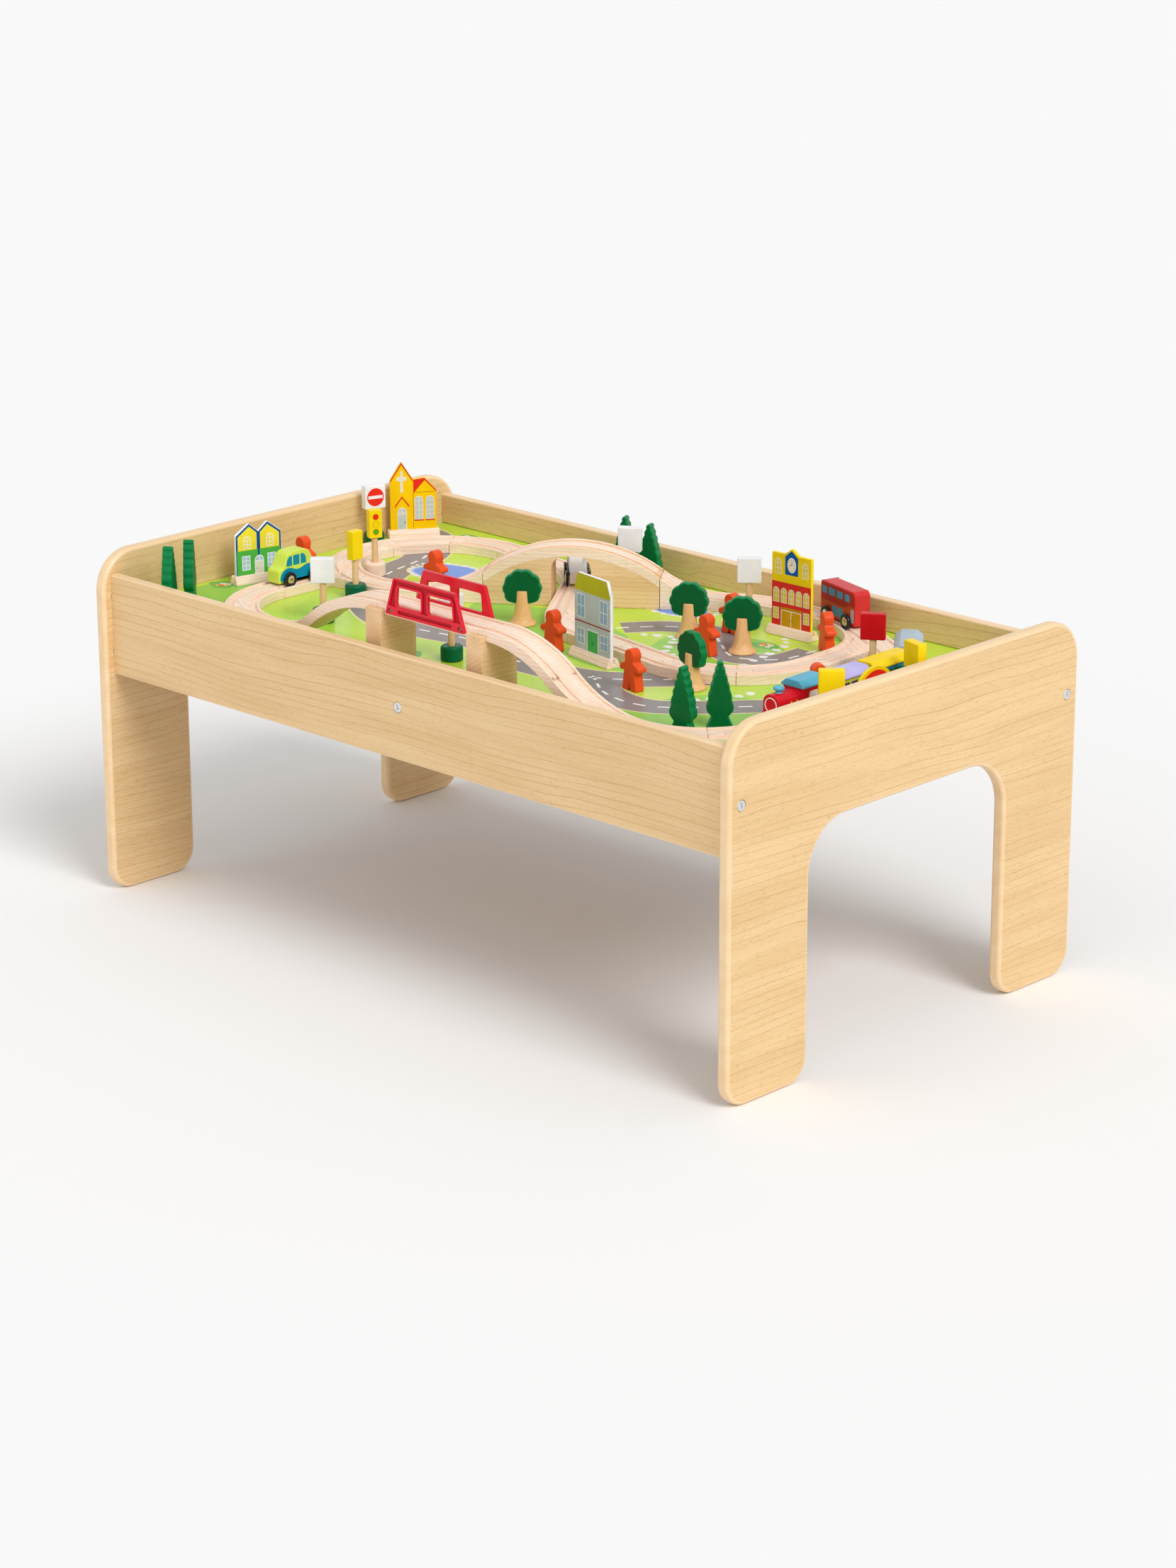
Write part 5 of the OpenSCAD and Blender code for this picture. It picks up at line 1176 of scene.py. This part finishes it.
roadSet = {"half": 10.25, "lampHeight": 1.4}
carSkirt = [(-31.6, 17.2), (-32, 21), (-30.4, 25.6), (-27, 29), (-23, 31), (-19, 31.6), (-14.6, 30.9), (-10, 29.2),
            (-5, 28.2), (0, 28.8), (5, 30.6), (10, 31.8), (16, 31.6), (22, 31), (28, 29.4), (31.4, 26), (32, 21),
            (31.6, 17.2)]
carWindows = [[(-22, 33.6), (-13.8, 33.6), (-13.8, 45.2), (-16, 45.2), (-18.4, 44.2), (-20.6, 41.6), (-21.8, 38)],
              roundRect(-7, 33.6, 9.6, 11.8, 1.2),
              [(-0.2, 33.6), (8.2, 33.6), (8, 38), (7, 42), (5, 44.6), (2.6, 45.4), (-0.2, 45.4)]]
patrolWindows = [[(-21.4, 31.2), (-11.8, 31.2), (-11.8, 41.4), (-16.6, 41.4), (-18.8, 39.8)],
                 roundRect(-4.8, 31.2, 11, 10.2, 0.8),
                 [(2.4, 31.2), (11.6, 31.2), (6, 39.6), (4.4, 41.4), (2.4, 41.4)]]
busUpper = [(-33.2, 33.4), (18.6, 33.4), (18.6, 36.6), (33.4, 36.6), (33.4, 44), (32, 48.4), (28.6, 51.2), (25, 52.2),
            (-32, 52.2), (-33.2, 51)]
busLower = [(-33.2, 16.4), (33.2, 16.4), (33.2, 36.4), (18.8, 36.4), (18.8, 33.2), (-33.2, 33.2)]
busTop = ((-26.4, 9), (-12, 12.4), (4, 12.4), (19, 9.6))  # upper windows, middle and width
roadVehicles = {  # edge, corner, paint, drawing on both sides
    "car": (1.5, 3.2, "lime", mirrored([("teal", line, 0.04) for line in carWindows]
                                       + [("teal", smoothLine(carSkirt, 4), 0)])),
    "patrol_car": (1.5, 3.2, "white", [("windowGrey", line, 0.04) for line in patrolWindows]
                   + [("check", rect(-30 + 4 * i, 20.4 + 3.4 * (i % 2), 4, 3.4), 0) for i in range(16)]),
    "bus": (1.3, 5.0, "busRed", [("busSide", busUpper, 0), ("busLow", busLower, 0)]
            + [("busPane", roundRect(x, 40.6, w, 8.2, 0.9), 0.06) for x, w in busTop]
            + [("busPane", roundRect(x, 18.8, 9.6, 11, 0.9), 0.06) for x in (-5.6, 5.6)]
            + [("paleBlue", rect(x, 18.4, 1.3, 15), 0.06) for x in (27.4, 29.6, 31.8)])}


def makeRoadVehicle(name):
    edge, corner, paint, drawing = roadVehicles[name]
    place, node = vehiclePlace(name), name + "_body"
    names = [paint]
    bm = bodyShape(node, edge, place.col[1].to_3d(), corner)
    if name == "car":  # the short deck leads
        turned = place @ Matrix.Diagonal((-1, 1, 1, 1)) @ place.inverted()
        bmesh.ops.transform(bm, matrix=turned, verts=bm.verts)
        bmesh.ops.reverse_faces(bm, faces=bm.faces)
    if name == "patrol_car":  # lamp on the roof
        names.append("blue")
        high = max(v.co.z for v in bm.verts)
        for face in bm.faces:
            if face.calc_center_median().z > high - roadSet["lampHeight"] * mm:
                face.material_index = 1
    for side in (1, -1):
        paintOn(bm, sidePlace(place, side, roadSet["half"]), paintLift, drawing, names)
    finishShape(bm, node, names)
    makeWheels(name, place, "road")


makeLoco()
for wagonName in wagonColours:
    makeWagon(wagonName)
for roadName in roadVehicles:
    makeRoadVehicle(roadName)
print("stage: vehicles")


# town: house fronts in slotted bars, trees, people, signs

viewWay = scene.camera.matrix_world.col[2].to_3d()


def boardPlace(part, faces):  # drawing plane on the larger upright face that looks towards the camera
    best = max((f for f in faces if abs(f.normal.z) < 0.2),
               key=lambda f: f.calc_area() * (1 + 0.2 * (f.normal.dot(viewWay) > 0)))
    out = best.normal.copy()
    out.z = 0
    out.normalize()
    if out.dot(viewWay) < 0:
        out = -out
    across = up.cross(out)
    us = [v.co.dot(across) for v in part]
    ws = [v.co.dot(out) for v in part]
    low = min(v.co.z for v in part)
    spot = across * (min(us) + max(us)) / 2 + out * max(ws) + up * low
    thick = max(ws) - min(ws)
    return axes(spot, across, up, out), axes(spot - out * thick, -across, up, -out)


frontSet = {"edge": 0.5, "paint": 0.22}
windowRow = (-21.8, -10.9, 0, 10.9, 21.8)
doorFan = [(0.5, 21.6), *[(max(0.5, x), y) for x, y in arc(0, 21.6, 4.9, (0, 20, 40, 60, 80))]]
frontDrawings = {
    "church_front": ("yellow", [
        ("trimRed", [(-28.2, 64.6), (-28.2, 67.2), (-14.25, 89.4), (-0.2, 67.2), (-0.2, 64.6), (-14.25, 86.4)], 0.04),
        ("roofRed", [(0.2, 52), (13.6, 66.6), (13.9, 68.8), (0.2, 67.2)], 0),
        ("trimRed", [(0.2, 50.4), (0.2, 52.6), (14.25, 68.8), (28.2, 53.8), (28.2, 51.6), (14.25, 66.2)], 0.04),
        ("darkGold", rect(14.2, 51.2, 27.8, 0.5), 0.02), ("darkGold", rect(0, 6, 0.5, 46), 0.02),
        ("bone", rect(-14.25, 52, 3.4, 26.4), 0), ("bone", rect(-14.25, 66.2, 12.4, 5.2), 0.03),
        ("trimRed", [(-22.6, 33.2), (-14, 44.6), (-5.2, 33.2), (-5.2, 35.8), (-14, 47.2), (-22.6, 35.8)], 0),
        *paned(-14, 5.6, 11.6, 27.6, "bone", "mist", 1, 1, True), ("bone", rect(-14, 24.6, 11, 1), 0.15),
        ("dark", rect(-10.8, 13, 0.7, 3), 0.15),
        *panes((6.7, 20.4), 17.4, 10.6, 29.4, "bone", "mist", 2, 4, True, bar=0.9),
        *[("trimRed", rect(x, 15.8, 11.4, 1.7), 0.04) for x in (6.7, 20.4)]]),
    "twin_house_front": ("white", [
        ("lemon", [(-29.4, 5.4), (29.4, 5.4), (29.4, 53.2), (12, 66.2), (0, 55.8), (-12, 66.2), (-29.4, 53.2)], 0),
        ("houseGreen", rect(0, 5.4, 58.8, 29.6), 0.02),
        ("blue", [(-29.4, 35), (-27.2, 35), (-27.2, 51.9), (-12, 63.3), (-2.2, 54.8), (-2.2, 35), (-1.1, 35),
                  (-1.1, 26), (1.1, 26), (1.1, 35), (2.2, 35), (2.2, 54.8), (12, 63.3), (27.2, 51.9), (27.2, 35),
                  (29.4, 35), (29.4, 53.2), (12, 66.2), (0, 55.8), (-12, 66.2), (-29.4, 53.2)], 0.05),
        *[("blue", rect(x, 5.4, 1, 29.6), 0.05) for x in (-28.9, 28.9)],
        *panes((-15, 15), 37, 10, 15, "white", "lemon", 2, 2, True),
        *panes((-16.6, 16.8), 11, 11, 17.5, "white", "paleBlue", 2, 3),
        ("white", arch(0.6, 5.4, 12, 22.4), 0.1), ("bone", rect(0.6, 5.4, 9.8, 14.6), 0.16),
        *[("paleBlue", [(0.6 + way * x, y) for x, y in doorFan], 0.16) for way in (1, -1)],
        ("dark", disc(-2.6, 12, 0.6, 10), 0.2)]),
    "hospital_front": ("white", [
        ("wallGrey", [(-32.6, 5.4), (32.6, 5.4), (32.6, 74.4), (26.2, 90.6), (-26.2, 90.6), (-32.6, 74.4)], 0),
        ("olive", [(-32.6, 71), (32.6, 71), (32.6, 74.4), (26.2, 90.6), (-26.2, 90.6), (-32.6, 74.4)], 0.03),
        ("lineRed", rect(0, 36, 65.2, 1.5), 0.03),
        *panes((-21, 21), 41, 14.6, 27, "offWhite", "pane"), *panes((-21.4, 21.4), 11.4, 14, 18, "offWhite", "pane"),
        ("offWhite", rect(0.6, 5.4, 21, 25), 0.04), ("doorGreen", rect(0.6, 5.4, 18.6, 23.6), 0.1),
        *[("darkGreen", rect(x, 13, 0.7, 5), 0.15) for x in (-0.4, 1.6)]]),
    "school_front": ("schoolEdge", [
        ("schoolYellow", [(-28.1, 5.4), (28.1, 5.4), (28.1, 88.3), (10, 88.3), (0, 95.3), (-10, 88.3),
                          (-28.1, 88.3)], 0),
        ("brick", rect(0, 5.4, 56.2, 50.6), 0.03),
        ("blue", [(-9.4, 65.6), (9.4, 65.6), (9.4, 86), (0, 93.6), (-9.4, 86)], 0.03),
        ("offWhite", disc(0.2, 77.2, 6.2, 36, 1.4), 0.07), ("cream", disc(0.2, 77.2, 5.5, 36, 1.4), 0.11),
        ("dark", rect(0.4, 77, 0.6, 4.4), 0.16), ("dark", rect(-1.2, 76.9, 3.2, 0.6), 0.16),
        *[("dark", disc(0.2 + 4.6 * math.sin(math.radians(a)), 77.2 + 6.5 * math.cos(math.radians(a)), 0.42, 8), 0.15)
          for a in range(0, 360, 30)],
        *panes((-19.4, 19.6), 65, 9.2, 17.6, "bone", "mustard", 2, 2, True, bar=0.9),
        *panes(windowRow, 32, 9, 17.5, "bone", "mustard", 2, 2, True, 0.08, 0.9),
        *panes((-22, 22), 12.8, 9, 13.4, "bone", "mustard", 2, 3, False, 0.08, 0.9),
        ("darkGold", rect(0, 24.4, 30.8, 3), 0.1), ("bone", rect(0, 5.4, 30, 19), 0.08),
        *[("gold", rect(x, 5.4, 13, 17.9), 0.14) for x in (-7.1, 7.1)],
        *[("dark", rect(x, 12.4, 0.6, 3), 0.19) for x in (-1.5, 1.5)]]),
    "shed_front": ("signYellow", [
        ("roofRed", [(-27, 5.4), (27, 5.4)] + arc(0, 26, 27, range(0, 181, 6)), 0),
        *[("bone", arch(x, 5.4, 18, 26), 0.04) for x in (-12, 12)],
        *[("slate", arch(x, 5.4, 14.6, 24), 0.1) for x in (-12, 12)]])}


def makeFronts():
    for node, (ground, drawing) in frontDrawings.items():
        bm = nodeShape(node)
        front, back = boardPlace(list(bm.verts), bm.faces)
        roundEdges(bm, frontSet["edge"], 2, 40)
        names = [ground]
        paintOn(bm, front, frontSet["paint"], drawing, names)
        paintOn(bm, back, frontSet["paint"], mirrored(drawing), names)
        finishShape(bm, node, names)
    plainPiece("house_bars", "track", edge=1.0, steps=3, sharp=30, seed=61)


treeSet = {"edge": 1.5, "steps": 3, "trunkEdge": 0.8, "scallop": 0.6, "waist": 0.18, "waistDepth": 2.6,
           "waistReach": 0.055, "rimArea": 400}


def softenCrown(part, out):  # shallower scallops round a crown
    centre = sum(boxOf(part), Vector()) / 2
    flat = [(v, (v.co - centre) - out * (v.co - centre).dot(out)) for v in part]
    reach = max(d.length for v, d in flat)
    for v, d in flat:
        if d.length > reach * 0.6:
            v.co += d.normalized() * (reach - d.length) * (1 - treeSet["scallop"])


def cutWaist(part, out):  # a deeper waist above a cypress's foot
    across = out.cross(up).normalized()
    lo, hi = boxOf(part)
    for v in part:
        far = ((v.co.z - lo.z) / (hi.z - lo.z) - treeSet["waist"]) / treeSet["waistReach"]
        side = (v.co - (lo + hi) / 2).dot(across)
        v.co -= across * math.copysign(math.exp(-far * far) * treeSet["waistDepth"] * mm, side)


def makeTrees():
    for node, paint, shape in (("cypress_trees", "green", cutWaist), ("tree_crowns", "darkGreen", softenCrown)):
        bm = nodeShape(node)
        for part in groups(bm):
            shape(part, max(facesOf(part), key=lambda f: f.calc_area()).normal.copy())
        roundEdges(bm, treeSet["edge"], treeSet["steps"], 30, 1)
        for face in bm.faces:  # rims and rounded edges get a brighter green, a painted highlight for the light the edges catch
            if face.calc_area() < treeSet["rimArea"] * mm * mm:
                face.material_index = 1
        finishShape(bm, node, [paint, "treeEdge"], 34)
    plainPiece("tree_trunks", "trunk", edge=treeSet["trunkEdge"], sharp=40, way=(0, 0, 1), seed=62)


signSet = {"edge": 1.1, "baseEdge": 1.8, "lamp": 3.3, "lampHeights": (7.8, 16.8, 25.8),
           "places": [(-248, -148), (-456.3, 125.5), (-33, -155), (-91.4, 190), (100, 183), (350.5, 101.7),
                      (456.3, -89.5), (453.9, 46.8), (-296.9, -53.1), (-353, 30)],
           "paints": ["white"] * 5 + ["signRed"] + ["signYellow"] * 4, "barSign": 1, "lightAway": 8, "light": 9}


def signIndex(part):
    lo, hi = boxOf(part)
    spot = ((lo + hi) / 2).to_2d()
    return min(range(len(signSet["places"])), key=lambda i: (Vector(signSet["places"][i]) * mm - spot).length)


def makeSigns():
    bm = nodeShape("sign_heads")
    names = ["white", "signRed", "signYellow"]
    drawings = []
    for part in groups(bm):
        index = signIndex(part)
        for face in facesOf(part):
            face.material_index = names.index(signSet["paints"][index])
        drawings.append((index, *boardPlace(part, facesOf(part))))
    roundEdges(bm, signSet["edge"], 3, 40)
    lamps = [shape for z, colour in zip(signSet["lampHeights"], ("lampGreen", "signYellow", "roofRed")) for shape in
             (("darkGold", disc(0, z, signSet["lamp"] + 0.4, 28), 0), (colour, disc(0, z, signSet["lamp"], 28), 0.1))]
    barred = [("roofRed", disc(0, 14.5, 11, 40), 0), ("white", rect(0, 12.6, 19, 3.8), 0.1)]
    for index, front, back in drawings:
        if index == signSet["barSign"]:
            paintOn(bm, front, paintLift, barred, names)
        if index in (signSet["light"], signSet["lightAway"]):
            paintOn(bm, front if index == signSet["light"] else back, paintLift, lamps, names)
    finishShape(bm, "sign_heads", names)
    plainPiece("sign_posts", "turned", way=(0, 0, 1), seed=63)
    bm = nodeShape("sign_bases")
    for part in groups(bm):
        if signIndex(part) == signSet["light"]:  # one base is bare wood
            for face in facesOf(part):
                face.material_index = 1
    roundEdges(bm, signSet["baseEdge"], 3, 40)
    setGrain(bm, (0, 0, 1), 64)
    finishShape(bm, "sign_bases", ["baseGreen", "track"], 34)


makeFronts()
makeTrees()
plainPiece("people", "orange", edge=1.6, steps=3, sharp=40, smooth=34)
makeSigns()
print("stage: town")
